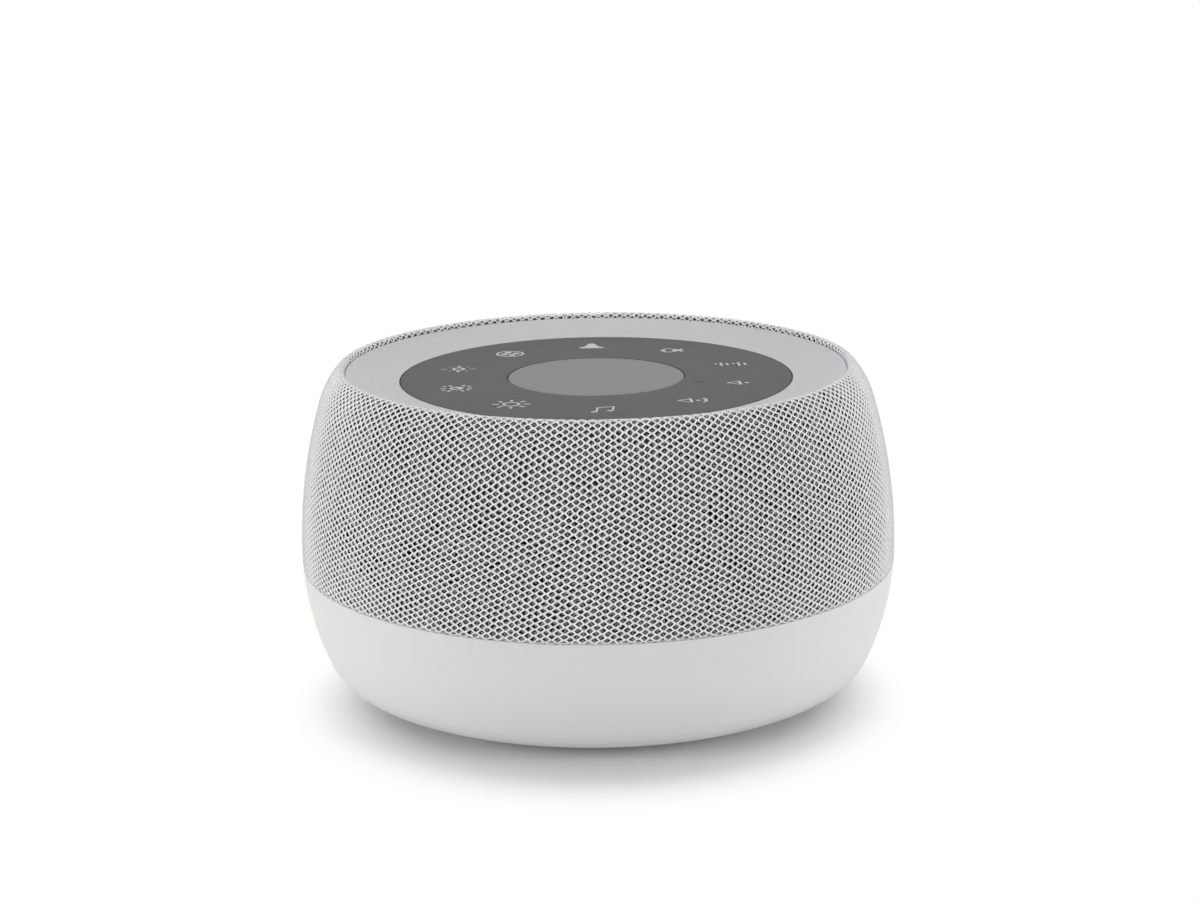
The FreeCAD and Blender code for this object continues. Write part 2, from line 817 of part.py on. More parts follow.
def lamp_lead_hole(bottom, thickness):
    """The hole for the lamp board's lead in one wall."""
    x, y = lamp_lead_spot()
    return hole(lead_radius + wire_gap, bottom, thickness, x, y)


def led_board():
    """The ring-shaped board of the night light."""
    outer = channel_outer - lamp_board_gap
    inner = deck_rim_outer + lamp_board_gap
    board = ring(outer, inner, deck_floor_z, lamp_board_thickness)
    return board.cut(lamp_lead_hole(deck_floor_z, lamp_board_thickness))


def leds():
    """The lamps of the night light, evenly spaced in the channel."""
    middle = (deck_rim_outer + channel_outer) / 2
    lamp = block(lamp_width, lamp_length, lamp_height, middle, 0, deck_floor_z + lamp_board_thickness)
    return ring_of(lamp, lamp_count, FULL_TURN / lamp_count / 2)


def connector_window():
    """The size in x and y of the deck's window for the touch board's connector."""
    width = 2 * (ribbon_half_width + connector_end_wall + window_end_gap)
    return width, connector_depth + 2 * window_side_gap


def touch_board():
    """The ring-shaped board behind the panel, with the touch sensors."""
    return ring(touch_board_radius, touch_board_hole_radius, deck_top_z, touch_board_thickness)


def touch_pads():
    """The copper sensor pads, one behind each symbol of the panel."""
    pads = disc(pad_radius, touch_board_top_z, pad_thickness, 0, -pad_circle_radius)
    return ring_of(pads, pad_count, pad_first_angle)


def ribbon_socket(bottom, top, y):
    """A connector's body between two heights, before the ribbon's slit is cut."""
    return block(2 * (ribbon_half_width + connector_end_wall), connector_depth, top - bottom, 0, y, bottom)


def ribbon_slit(bottom, top, y):
    """The slit for the ribbon's end in a connector."""
    return block(2 * ribbon_half_width + wire_gap, ribbon_thickness + wire_gap, top - bottom, 0, y, bottom)


def touch_board_connector():
    """The ribbon's connector under the touch board, in the deck's window."""
    connector = ribbon_socket(touch_connector_z, deck_top_z, ribbon_top_y)
    return connector.cut(ribbon_slit(touch_connector_z - CUT_MARGIN, deck_plate_bottom_z, ribbon_top_y))


def panel_tape():
    """The adhesive that holds the panel to the deck and the touch board."""
    tape = ring(touch_board_radius, touch_board_hole_radius, pad_top_z, tape_thickness)
    x, y = polar(lens_circle_radius, lens_angle)
    return tape.cut(hole(lens_radius, pad_top_z, tape_thickness, x, y))


def touch_panel():
    """The flat dark panel with the hole for the key and the one for the indicator's window."""
    panel = turned(
        (key_radius + key_gap, panel_bottom_z),
        (panel_radius, panel_bottom_z),
        (panel_radius, panel_top_z - panel_edge_chamfer),
        (panel_radius - panel_edge_chamfer, panel_top_z),
        (key_radius + key_gap + panel_hole_chamfer, panel_top_z),
        (key_radius + key_gap, panel_top_z - panel_hole_chamfer),
    )
    x, y = polar(lens_circle_radius, lens_angle)
    return panel.cut(hole(lens_radius, panel_bottom_z, panel_thickness, x, y))


def indicator_lens():
    """The small clear window of the indicator lamp, flush with the panel."""
    x, y = polar(lens_circle_radius, lens_angle)
    return disc(lens_radius - lens_gap, pad_top_z, panel_thickness + tape_thickness, x, y)


# Centre key and switch

def key_pin_spots():
    """The key's three guide pins."""
    step = FULL_TURN / key_pin_count
    first = QUARTER_TURN + step / 2
    return [polar(key_pin_circle_radius, first + n * step) for n in range(key_pin_count)]


def switch_screw_spots():
    """The two screws of the switch's board."""
    reach = switch_board_radius - switch_screw_inset
    return [(-reach, 0.0), (reach, 0.0)]


def centre_key():
    """The round key: its cap is level with the panel, and its flange keeps it from coming out."""
    cap = turned(
        (0, key_flange_bottom_z),
        (key_flange_radius, key_flange_bottom_z),
        (key_flange_radius, key_flange_top_z),
        (key_radius, key_flange_top_z),
        (key_radius, panel_top_z - key_top_edge),
        arc_step((key_radius - key_top_edge, panel_top_z - key_top_edge), key_top_edge, 0, QUARTER_TURN),
        (0, panel_top_z),
    )
    root_z = key_flange_bottom_z + key_flange_thickness / 2
    pad = post(key_pad_radius, plunger_top_z, root_z, 0, 0)
    pin_bottom = deck_bottom_z - key_pin_reach
    pins = [post(key_pin_radius, pin_bottom, root_z, x, y) for x, y in key_pin_spots()]
    return cap.fuse([pad] + pins).removeSplitter()


def switch_board():
    """The small round board under the key."""
    board = disc(switch_board_radius, deck_floor_z, switch_board_thickness)
    radius = board_screw_size[0] + screw_fit_gap
    spots = switch_screw_spots()
    return board.cut([hole(radius, deck_floor_z, switch_board_thickness, x, y) for x, y in spots])


def switch_body():
    """The push switch's square body, with the chamber that its plunger's collar moves in."""
    body = block(switch_size, switch_size, switch_top_z - switch_floor_z, 0, 0, switch_floor_z)
    chamber = post(plunger_collar_radius + plunger_gap, deck_floor_z, switch_top_z - switch_roof, 0, 0)
    neck = post(plunger_radius + plunger_gap, deck_floor_z, body_height, 0, 0)
    return body.cut([chamber, neck])


def switch_plunger():
    """The plunger that the key's pad presses."""
    collar = disc(plunger_collar_radius, plunger_bottom_z, plunger_collar_height)
    stem = disc(plunger_radius, plunger_bottom_z, plunger_top_z - plunger_bottom_z)
    return collar.fuse(stem).removeSplitter()


def switch_dome():
    """The thin snap dome under the plunger, which pushes the key back up."""
    rise = plunger_bottom_z - switch_floor_z
    outer = (dome_radius ** 2 + rise ** 2) / (2 * rise)
    centre = (0, switch_floor_z + rise - outer)
    inner = outer - dome_thickness
    foot = math.degrees(math.asin((switch_floor_z - centre[1]) / outer))
    inner_foot = math.degrees(math.asin((switch_floor_z - centre[1]) / inner))
    return turned(
        on_circle(centre, outer, foot),
        arc_step(centre, outer, foot, QUARTER_TURN),
        (0, plunger_bottom_z - dome_thickness),
        arc_step(centre, inner, QUARTER_TURN, inner_foot),
    )


def switch_screws():
    """Two small screws through the switch's board into the deck."""
    seat = switch_floor_z
    length = switch_board_thickness + deck_wall
    return [screw(board_screw_size, length, x, y, seat, point_up=False) for x, y in switch_screw_spots()]


def deck_screws():
    """Four screws up through the frame's flange into the deck's bosses."""
    length = flange_thickness + deck_plate_bottom_z - deck_bottom_z
    return [screw(deck_screw_size, length, x, y, flange_bottom_z) for x, y in deck_screw_spots()]


# Loudspeaker

def speaker_screw_spots():
    """Four screws through the loudspeaker's flange."""
    step = FULL_TURN / speaker_screw_count
    return [
        polar(speaker_screw_circle_radius, speaker_screw_angle + n * step)
        for n in range(speaker_screw_count)
    ]


def baffle_plate():
    """The plate that closes the bowl and carries the loudspeaker."""
    radius = side_point(baffle_top_z, cover_thickness + cover_gap + frame_wall)[0] - baffle_edge_gap
    spots = post_spots()
    baffle = ring(radius, speaker_hole_radius, baffle_bottom_z, baffle_thickness)
    baffle = baffle.fuse([post(baffle_boss_radius, baffle_boss_z, baffle_top_z, x, y) for x, y in spots])
    pilot = long_screw_size[0] + screw_fit_gap
    pilot_top = baffle_top_z - baffle_boss_skin
    cuts = [post(pilot, baffle_boss_z - CUT_MARGIN, pilot_top, x, y) for x, y in spots]
    for x, y in speaker_screw_spots():
        cuts.append(hole(speaker_screw_size[0] + screw_fit_gap, baffle_bottom_z, baffle_thickness, x, y))
    cuts += grommet_outlines(baffle_bottom_z - CUT_MARGIN, baffle_top_z + CUT_MARGIN)
    return baffle.cut(cuts).removeSplitter()


def grommet_outlines(bottom, top):
    """The outer shapes of the ribbon's and the lamp lead's grommets between two heights."""
    width = 2 * (ribbon_half_width + grommet_wall)
    depth = ribbon_thickness + 2 * grommet_wall
    x, y = lamp_lead_low
    flat = block(width, depth, top - bottom, 0, ribbon_low_y, bottom)
    return [flat, post(lead_radius + grommet_wall, bottom, top, x, y)]


def speaker_gasket():
    """The foam ring between the loudspeaker and the baffle."""
    gasket = ring(speaker_flange_radius, speaker_hole_radius, baffle_top_z, speaker_gasket_thickness)
    radius = speaker_screw_size[0] + screw_fit_gap
    spots = speaker_screw_spots()
    return gasket.cut([hole(radius, baffle_top_z, speaker_gasket_thickness, x, y) for x, y in spots])


def basket_side(z):
    """The outer radius of the basket's sloping side at a height."""
    return basket_foot_radius + (z - basket_floor_z - basket_wall) / math.tan(basket_lean)


def basket_inside(z):
    """The inner radius of the basket's sloping side at a height."""
    return basket_side(z) - basket_wall / math.sin(basket_lean)


def speaker_basket():
    """The loudspeaker's pressed basket: flange, windowed cone wall, a ledge for the spider, a floor."""
    floor_top = basket_floor_z + basket_wall
    basket = turned(
        (basket_floor_hole, basket_floor_z),
        (basket_foot_radius, basket_floor_z),
        (basket_foot_radius, floor_top),
        (basket_top_radius, speaker_seat_z),
        (speaker_flange_radius, speaker_seat_z),
        (speaker_flange_radius, speaker_face_z),
        (cone_edge_radius + surround_width, speaker_face_z),
        (basket_inside(speaker_seat_z), speaker_seat_z - basket_wall),
        (basket_inside(spider_z), spider_z),
        (basket_inside(spider_z) - spider_ledge_width, spider_z),
        (basket_inside(floor_top), floor_top),
        (basket_floor_hole, floor_top),
    )
    window_low = spider_z + basket_window_foot
    window_high = speaker_seat_z - basket_window_head
    middle = speaker_flange_radius / 2 + cone_neck_radius
    height = window_high - window_low
    window = block(speaker_flange_radius, basket_window_width, height, middle, 0, window_low)
    radius = speaker_screw_size[0] + speaker_screw_hole_gap
    holes = [hole(radius, speaker_seat_z, speaker_flange_thickness, x, y) for x, y in speaker_screw_spots()]
    return basket.cut(ring_of(window, basket_window_count) + holes)


def speaker_front_washer():
    """The steel plate in front of the magnet, whose hole is the coil's gap."""
    hole = coil_former_radius + coil_former_wall + coil_winding_wall + coil_gap
    return ring(front_washer_radius, hole, front_washer_z, front_washer_thickness)


def speaker_magnet():
    """The ring magnet."""
    return ring(magnet_radius, magnet_hole_radius, magnet_z, magnet_thickness)


def speaker_yoke():
    """The back plate and the pole, in one piece, with a vent."""
    back = disc(front_washer_radius, yoke_z, yoke_thickness)
    pole = disc(pole_radius, yoke_z, basket_floor_z - yoke_z)
    vent = disc(pole_vent_radius, yoke_z - CUT_MARGIN, basket_floor_z - yoke_z + 2 * CUT_MARGIN)
    return back.fuse(pole).cut(vent).removeSplitter()


def voice_coil():
    """The coil's former with its winding."""
    outer = coil_former_radius + coil_former_wall
    return turned(
        (coil_former_radius, coil_bottom_z),
        (outer + coil_winding_wall, coil_bottom_z),
        (outer + coil_winding_wall, coil_bottom_z + coil_winding_height),
        (outer, coil_bottom_z + coil_winding_height),
        (outer, cone_neck_z),
        (coil_former_radius, cone_neck_z),
    )


def speaker_cone():
    """The paper cone, with a flat edge for the surround and a flat neck over the former."""
    top = speaker_face_z
    edge_inner = cone_edge_radius - cone_edge_width
    neck_in = coil_former_radius
    neck_out = cone_neck_radius
    return turned(
        (neck_in, cone_neck_z),
        (neck_out, cone_neck_z),
        (edge_inner + cone_thickness, top - cone_thickness),
        (cone_edge_radius, top - cone_thickness),
        (cone_edge_radius, top),
        (edge_inner, top),
        (neck_out - cone_thickness / 2, cone_neck_z + cone_thickness),
        (neck_in, cone_neck_z + cone_thickness),
    )


def speaker_dust_cap():
    """The small dome over the coil."""
    foot_z = cone_neck_z + cone_thickness
    outer = cone_neck_radius - cone_thickness / 2
    dome_radius = (outer ** 2 + cap_rise ** 2) / (2 * cap_rise)
    inner_radius = dome_radius - cone_thickness
    centre = (0, foot_z + cap_rise - dome_radius)
    edge_angle = math.degrees(math.asin((foot_z - centre[1]) / dome_radius))
    inner_angle = math.degrees(math.asin((foot_z - centre[1]) / inner_radius))
    return turned(
        on_circle(centre, dome_radius, edge_angle),
        arc_step(centre, dome_radius, edge_angle, QUARTER_TURN),
        (0, foot_z + cap_rise - cone_thickness),
        arc_step(centre, inner_radius, QUARTER_TURN, inner_angle),
    )


def speaker_surround():
    """The rubber half roll between the cone's edge and the basket."""
    z = speaker_face_z
    thick = surround_thickness
    roll_centre = (cone_edge_radius + surround_width / 2, z)
    roll = surround_width / 2
    inner_lip = cone_edge_radius - cone_edge_width
    outer_lip = cone_edge_radius + surround_width + surround_lip_width
    flare = surround_flare_share * thick
    return turned(
        (inner_lip, z),
        (cone_edge_radius, z),
        arc_step(roll_centre, roll, HALF_TURN, 0),
        (outer_lip, z),
        (outer_lip, z + thick),
        (roll_centre[0] + roll + flare, z + thick),
        ((roll_centre[0], z + roll + thick), (roll_centre[0] - roll - flare, z + thick)),
        (inner_lip, z + thick),
    )


def speaker_spider():
    """The ribbed disc that centres the coil."""
    outer = basket_inside(spider_z)
    inner = coil_former_radius + coil_former_wall + spider_glue_gap
    lip = spider_ledge_width
    step = (outer - lip - inner) / (2 * spider_waves)
    low = spider_z
    high = spider_z + spider_thickness
    under = [(inner, low)]
    over = [(inner, high)]
    for wave in range(2 * spider_waves):
        r = inner + wave * step
        rise = spider_wave_height if wave % 2 == 0 else -spider_wave_height
        under.append(((r + step / 2, low + rise), (r + step, low)))
        over.append(((r + step / 2, high + rise), (r + step, high)))
    back = []
    ends = [inner] + [inner + (wave + 1) * step for wave in range(2 * spider_waves)]
    for wave in reversed(range(2 * spider_waves)):
        back.append((over[wave + 1][0], (ends[wave], high)))
    return turned(under[0], *under[1:], (outer, low), (outer, high), (ends[-1], high), *back)


def speaker_screws():
    """Four screws through the flange and gasket into the baffle."""
    length = speaker_flange_thickness + speaker_gasket_thickness + baffle_thickness
    return [screw(speaker_screw_size, length, x, y, speaker_face_z, point_up=False)
            for x, y in speaker_screw_spots()]


def terminal_radius():
    """The middle of the terminal strip stands this far from the axis, beside a window."""
    return basket_side(spider_z) + terminal_gap + terminal_thickness / 2 / math.sin(basket_lean)


def speaker_terminals():
    """The strip on the basket's sloping side that the coil's wires and the leads are soldered to."""
    strip = block(terminal_thickness, terminal_width, terminal_height, 0, 0, -terminal_height / 2)
    strip.rotate(ORIGIN, FreeCAD.Vector(0, 1, 0), QUARTER_TURN - math.degrees(basket_lean))
    strip.translate(FreeCAD.Vector(terminal_radius(), 0, spider_z))
    strip.rotate(ORIGIN, Z_AXIS, terminal_angle)
    return strip


# Main board, socket and wires

def main_board():
    """The board at the back of the bowl, shaped to the bowl, with a tab for the socket."""
    corner = math.degrees(math.asin(board_front / board_radius))
    root = math.degrees(math.acos(board_tab_half_width / board_radius))
    right = arc_step((0, 0), board_radius, corner, root)
    left = arc_step((0, 0), board_radius, HALF_TURN - root, HALF_TURN - corner)
    outline = [
        polar(board_radius, corner),
        right,
        (board_tab_half_width, board_tab_reach),
        (-board_tab_half_width, board_tab_reach),
        polar(board_radius, HALF_TURN - root),
        left,
    ]
    board = plate(polar(board_radius, HALF_TURN - corner), outline, board_height, board_thickness)
    radius = board_screw_size[0] + screw_fit_gap
    return board.cut([hole(radius, board_height, board_thickness, x, y) for x, y in standoff_spots])


def board_screws():
    """Three small screws that hold the main board on its posts."""
    length = board_thickness + (board_height - base_floor_z) / 2
    return [screw(board_screw_size, length, x, y, board_top_z, point_up=False) for x, y in standoff_spots]


def board_chips():
    """The flat parts of the main board: processor, amplifier, memory and the supply's coil."""
    return [
        block(width, depth, height, across * board_radius, board_front + back * board_depth, board_top_z)
        for width, depth, height, across, back in chip_sizes
    ]


def board_capacitors():
    """Two round capacitors that stand on the main board."""
    top = board_top_z + capacitor_height
    straight = top - capacitor_edge
    can = turned(
        (0, board_top_z),
        (capacitor_radius, board_top_z),
        (capacitor_radius, straight),
        arc_step((capacitor_radius - capacitor_edge, straight), capacitor_edge, 0, QUARTER_TURN),
        (0, top),
    )
    return [can.translated(FreeCAD.Vector(x, y, 0)) for x, y in capacitor_spots]


def ribbon_connector():
    """The ribbon's connector on the main board."""
    connector = ribbon_socket(board_top_z, board_top_z + connector_height, ribbon_low_y)
    return connector.cut(ribbon_slit(board_top_z + ribbon_seat, body_height, ribbon_low_y))


def usb_socket():
    """The socket's metal shell."""
    start = socket_mouth_y - socket_length
    outer = socket_bar(0, start, socket_mouth_y)
    return outer.cut(socket_bar(socket_wall, start - CUT_MARGIN, socket_mouth_y + CUT_MARGIN))


def socket_bar(inset, y_start, y_end):
    """The socket's flat oval section, a distance inside its outer surface, run along Y."""
    width = socket_width - 2 * inset
    height = socket_height - 2 * inset
    return rounded_bar(width, height, height / 2, socket_middle_z, y_start, y_end)


def usb_tongue():
    """The socket's inner block and contact tongue."""
    start = socket_mouth_y - socket_length
    root = start + tongue_block_length
    back = socket_bar(socket_wall, start, root)
    low = socket_middle_z - tongue_thickness / 2
    tongue = block(tongue_width, tongue_length, tongue_thickness, 0, root + tongue_length / 2, low)
    return back.fuse(tongue).removeSplitter()


def ribbon_cable():
    """The flat ribbon from the touch board down to the main board, with a jog round the speaker."""
    low = board_top_z + ribbon_seat
    half = ribbon_thickness / 2
    slope = math.atan2(ribbon_jog_top - ribbon_jog_low, ribbon_low_y - ribbon_top_y)
    turn = QUARTER_TURN - math.degrees(slope)
    reach = ribbon_bend_radius * math.tan(math.radians(turn) / 2)
    upper = (ribbon_top_y + ribbon_bend_radius, ribbon_jog_top + reach)
    lower = (ribbon_low_y - ribbon_bend_radius, ribbon_jog_low - reach)
    near = ribbon_bend_radius - half
    far = ribbon_bend_radius + half
    steps = (
        (ribbon_top_y + half, upper[1]),
        arc_step(upper, near, HALF_TURN, HALF_TURN + turn),
        on_circle(lower, far, turn),
        arc_step(lower, far, turn, 0),
        (ribbon_low_y + half, low),
        (ribbon_low_y - half, low),
        (ribbon_low_y - half, lower[1]),
        arc_step(lower, near, 0, turn),
        on_circle(upper, far, HALF_TURN + turn),
        arc_step(upper, far, HALF_TURN + turn, HALF_TURN),
        (ribbon_top_y - half, deck_plate_bottom_z),
    )
    start = (ribbon_top_y + half, deck_plate_bottom_z)
    edges = edges_of(start, steps, lambda p: FreeCAD.Vector(-ribbon_half_width, p[0], p[1]))
    return Part.Face(Part.Wire(edges)).extrude(FreeCAD.Vector(2 * ribbon_half_width, 0, 0))


def cable_grommets():
    """Two soft grommets that seal the ribbon and the lamp lead in the baffle."""
    flat, round_one = grommet_outlines(baffle_bottom_z - grommet_lip, baffle_top_z + grommet_lip)
    passage = block(2 * ribbon_half_width, ribbon_thickness, body_height, 0, ribbon_low_y, 0)
    x, y = lamp_lead_low
    return [flat.cut(passage), round_one.cut(post(lead_radius, 0, body_height, x, y))]


def lamp_lead():
    """The lead from the lamp board down to the main board."""
    top_x, top_y = lamp_lead_spot()
    x, y = lamp_lead_low
    points = (
        (top_x, top_y, deck_floor_z + lamp_board_thickness),
        (top_x, top_y, lamp_lead_jog_top),
        (x, y, lamp_lead_jog_low),
        (x, y, plug_top_z),
    )
    return lead(points, "lamp lead")


def lead_plugs():
    """The two small plugs on the main board: lamp and loudspeaker."""
    plugs = []
    for spots in ((lamp_lead_low,), speaker_lead_low):
        low, high = min(x for x, _ in spots), max(x for x, _ in spots)
        width = high - low + 2 * (lead_radius + plug_side_wall)
        plugs.append(block(width, plug_depth, plug_height, (low + high) / 2, spots[0][1], board_top_z))
    return plugs


def speaker_leads():
    """The two leads from the loudspeaker's terminals to the main board."""
    face = terminal_radius() + terminal_thickness / 2 / math.sin(basket_lean)
    face += lead_radius / math.tan(basket_lean)
    wires = []
    for side, (plug_x, plug_y) in zip((lead_spread, -lead_spread), speaker_lead_low):
        start = beside_terminals(face, side)
        out = beside_terminals(face + lead_reach, side)
        points = (
            (*start, spider_z),
            (*out, spider_z),
            (plug_x, plug_y, spider_z - lead_low_step),
            (plug_x, plug_y, plug_top_z),
        )
        wires.append(lead(points, "speaker lead"))
    return wires


def beside_terminals(reach, side):
    """A point at a distance from the axis through the terminals, and to one side of that line."""
    turn = math.radians(terminal_angle)
    return reach * math.cos(turn) - side * math.sin(turn), reach * math.sin(turn) + side * math.cos(turn)


PARTS = {
    "base_shell": base_shell,
    "foot_ring": foot_ring,
    "base_screws": base_screws,
    "grille_frame": grille_frame,
    "fabric_sleeve": fabric_sleeve,
    "control_deck": control_deck,
    "deck_screws": deck_screws,
    "light_ring": light_ring,
    "led_board": led_board,
    "leds": leds,
    "touch_board": touch_board,
    "touch_pads": touch_pads,
    "touch_board_connector": touch_board_connector,
    "panel_tape": panel_tape,
    "touch_panel": touch_panel,
    "indicator_lens": indicator_lens,
    "centre_key": centre_key,
    "switch_board": switch_board,
    "switch_body": switch_body,
    "switch_plunger": switch_plunger,
    "switch_dome": switch_dome,
    "switch_screws": switch_screws,
    "baffle_plate": baffle_plate,
    "speaker_gasket": speaker_gasket,
    "speaker_basket": speaker_basket,
    "speaker_front_washer": speaker_front_washer,
    "speaker_magnet": speaker_magnet,
    "speaker_yoke": speaker_yoke,
    "voice_coil": voice_coil,
    "speaker_cone": speaker_cone,
    "speaker_dust_cap": speaker_dust_cap,
    "speaker_surround": speaker_surround,
    "speaker_spider": speaker_spider,
    "speaker_screws": speaker_screws,
    "speaker_terminals": speaker_terminals,
    "speaker_leads": speaker_leads,
    "main_board": main_board,
    "board_screws": board_screws,
    "board_chips": board_chips,
    "board_capacitors": board_capacitors,
    "ribbon_connector": ribbon_connector,
    "usb_socket": usb_socket,
    "usb_tongue": usb_tongue,
    "ribbon_cable": ribbon_cable,
    "cable_grommets": cable_grommets,
    "lamp_lead": lamp_lead,
    "lead_plugs": lead_plugs,
}


def solids_of(made):
    """What a part's function made, as a list of separate solids."""
    shapes = made if isinstance(made, list) else [made]
    return [solid for shape in shapes for solid in shape.Solids]


os.makedirs("parts", exist_ok=True)
for name, make in PARTS.items():
    solids = solids_of(make())
    for solid in solids:
        if not solid.isValid():
            print(f"{name}: a solid is not valid")
    shape = solids[0] if len(solids) == 1 else Part.makeCompound(solids)
    shape.exportStep(f"parts/{name}.step")
    print(f"{name}: {len(solids)} solid(s), {sum(s.Volume for s in solids):.1f} cubic mm")
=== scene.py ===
# %% [markdown]
# # White noise sound machine
# A squat round bedside machine: a white bowl below, a knitted cover round its upper part, and a
# sunken top with a frosted light ring, a dark touch panel and one round push key. The packed
# model holds every hard piece in its real place, so it is loaded first and never moved. What is
# made here dresses it: finishes for every piece, the symbols printed on the panel, and the
# knitted cover, stitch by stitch.

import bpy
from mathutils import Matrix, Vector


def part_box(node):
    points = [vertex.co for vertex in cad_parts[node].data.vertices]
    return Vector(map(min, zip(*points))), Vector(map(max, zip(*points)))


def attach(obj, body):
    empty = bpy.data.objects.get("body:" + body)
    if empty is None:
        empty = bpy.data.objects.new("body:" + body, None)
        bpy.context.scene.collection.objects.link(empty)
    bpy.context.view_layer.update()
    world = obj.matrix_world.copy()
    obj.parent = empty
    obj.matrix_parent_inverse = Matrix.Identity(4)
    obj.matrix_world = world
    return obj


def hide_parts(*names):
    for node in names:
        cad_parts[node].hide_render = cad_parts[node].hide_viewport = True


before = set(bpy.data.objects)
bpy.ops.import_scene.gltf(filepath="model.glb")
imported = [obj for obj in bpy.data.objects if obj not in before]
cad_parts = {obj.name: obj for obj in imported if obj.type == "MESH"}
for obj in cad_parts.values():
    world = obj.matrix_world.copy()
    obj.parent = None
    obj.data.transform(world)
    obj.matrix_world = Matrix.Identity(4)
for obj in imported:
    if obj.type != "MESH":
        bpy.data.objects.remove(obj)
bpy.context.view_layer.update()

# %% Tools
import math

import bpy
import numpy as np
from mathutils import Matrix, Vector, noise

MM = 0.001
WHITE = (1, 1, 1, 1)


def clear_selection():
    """Nothing is selected after this, so the next operator acts only on what it is told to."""
    bpy.ops.object.select_all(action="DESELECT")


def edit(piece):
    """One piece opened in edit mode, with all of it selected."""
    clear_selection()
    bpy.context.view_layer.objects.active = piece
    piece.select_set(True)
    bpy.ops.object.mode_set(mode="EDIT")
    bpy.ops.mesh.select_all(action="SELECT")


def leave_edit():
    bpy.ops.object.mode_set(mode="OBJECT")


# %% [markdown]
# ## Camera
# The photograph is taken from the front and a little above, with a long lens. Its place, tilt
# and lens were found by laying circles of the object over the picture until all of them agreed,
# so the same numbers give the same view here. The camera also leans by less than a degree.

# %% Camera
LENS = 73.7
CAMERA_PLACE = (0.54 * MM, -442.1 * MM, 154.3 * MM)
LOOK_DOWN = 14.09
CAMERA_ROLL = -0.736
SENSOR_WIDTH = 36

camera_data = bpy.data.cameras.new("camera")
camera_data.lens = LENS
camera_data.sensor_width = SENSOR_WIDTH
camera = bpy.data.objects.new("camera", camera_data)
bpy.context.scene.collection.objects.link(camera)
pitch = Matrix.Rotation(math.radians(90 - LOOK_DOWN), 4, "X")
roll = Matrix.Rotation(math.radians(CAMERA_ROLL), 4, "Z")
camera.matrix_world = Matrix.Translation(CAMERA_PLACE) @ pitch @ roll
bpy.context.scene.camera = camera
print("camera at", tuple(round(v, 4) for v in camera.location), "lens", LENS)

# %% [markdown]
# ## Stage and light
# The object stands on a plain pale floor in an evenly lit room, as in a product picture: white
# all round and one short, soft shadow under the bowl. The room itself gives a weak light from
# everywhere. A glossy or clear surface, and the camera, see it as plain white.

# %% Room
ROOM_LIGHT = 0.33

bpy.context.scene.view_settings.view_transform = "Standard"
room = bpy.data.worlds.new("room")
bpy.context.scene.world = room
room.use_nodes = True


def seen_rays(tree):
    """1 for rays that show the background, which are the camera's, mirrors' and glass's."""
    path = tree.nodes.new("ShaderNodeLightPath")
    total = path.outputs["Is Camera Ray"]
    for name in ("Is Glossy Ray", "Is Transmission Ray"):
        add = tree.nodes.new("ShaderNodeMath")
        add.operation = "MAXIMUM"
        tree.links.new(total, add.inputs[0])
        tree.links.new(path.outputs[name], add.inputs[1])
        total = add.outputs[0]
    return total


tree = room.node_tree
light = tree.nodes["Background"]
light.inputs["Color"].default_value = WHITE
light.inputs["Strength"].default_value = ROOM_LIGHT
backdrop = tree.nodes.new("ShaderNodeBackground")
backdrop.inputs["Color"].default_value = WHITE
backdrop.inputs["Strength"].default_value = 1.0
either = tree.nodes.new("ShaderNodeMixShader")
tree.links.new(seen_rays(tree), either.inputs["Fac"])
tree.links.new(light.outputs[0], either.inputs[1])
tree.links.new(backdrop.outputs[0], either.inputs[2])
tree.links.new(either.outputs[0], tree.nodes["World Output"].inputs["Surface"])

# %% [markdown]
# Two wide lamps stand low at the sides and make the bowl's sides a little brighter than its
# middle. A third hangs almost overhead, a little behind, so that the shadow lies to the front.

# %% Lamps
LAMPS = (
    # name, place in metres, width in metres, watts
    ("top_lamp", (0.0, 0.14, 0.95), 0.40, 3.7),
    ("left_lamp", (-0.60, -0.32, 0.14), 0.36, 2.15),
    ("right_lamp", (0.62, -0.28, 0.14), 0.36, 2.0),
)
AIM = Vector((0, 0, 0.03))

for name, spot, width, watts in LAMPS:
    lamp_data = bpy.data.lights.new(name, "AREA")
    lamp_data.shape = "DISK"
    lamp_data.size = width
    lamp_data.energy = watts
    lamp_object = bpy.data.objects.new(name, lamp_data)
    bpy.context.scene.collection.objects.link(lamp_object)
    facing = (AIM - Vector(spot)).to_track_quat("-Z", "Y").to_matrix().to_4x4()
    lamp_object.matrix_world = Matrix.Translation(spot) @ facing
    lamp_object.visible_camera = False
print("lamps", [name for name, *_ in LAMPS])

# %% [markdown]
# Near the object the floor is an ordinary matt surface, so it keeps the shadow. Further out the
# shadow has faded, and there the floor turns into the plain white of the room.

# %% Distances as shades
def distance_from(tree, middle):
    """How far a point lies from an upright line through the middle."""
    where = tree.nodes.new("ShaderNodeTexCoord")
    flat = tree.nodes.new("ShaderNodeVectorMath")
    flat.operation = "MULTIPLY"
    flat.inputs[1].default_value = (1, 1, 0)
    away = tree.nodes.new("ShaderNodeVectorMath")
    away.operation = "DISTANCE"
    away.inputs[1].default_value = (middle[0], middle[1], 0)
    tree.links.new(where.outputs["Object"], flat.inputs[0])
    tree.links.new(flat.outputs["Vector"], away.inputs[0])
    return away.outputs["Value"]


def as_share(tree, value, start, end):
    """A number's way from start to end, as a smooth 0 to 1."""
    span = tree.nodes.new("ShaderNodeMapRange")
    span.interpolation_type = "SMOOTHSTEP"
    span.inputs["From Min"].default_value = start
    span.inputs["From Max"].default_value = end
    tree.links.new(value, span.inputs["Value"])
    return span.outputs["Result"]


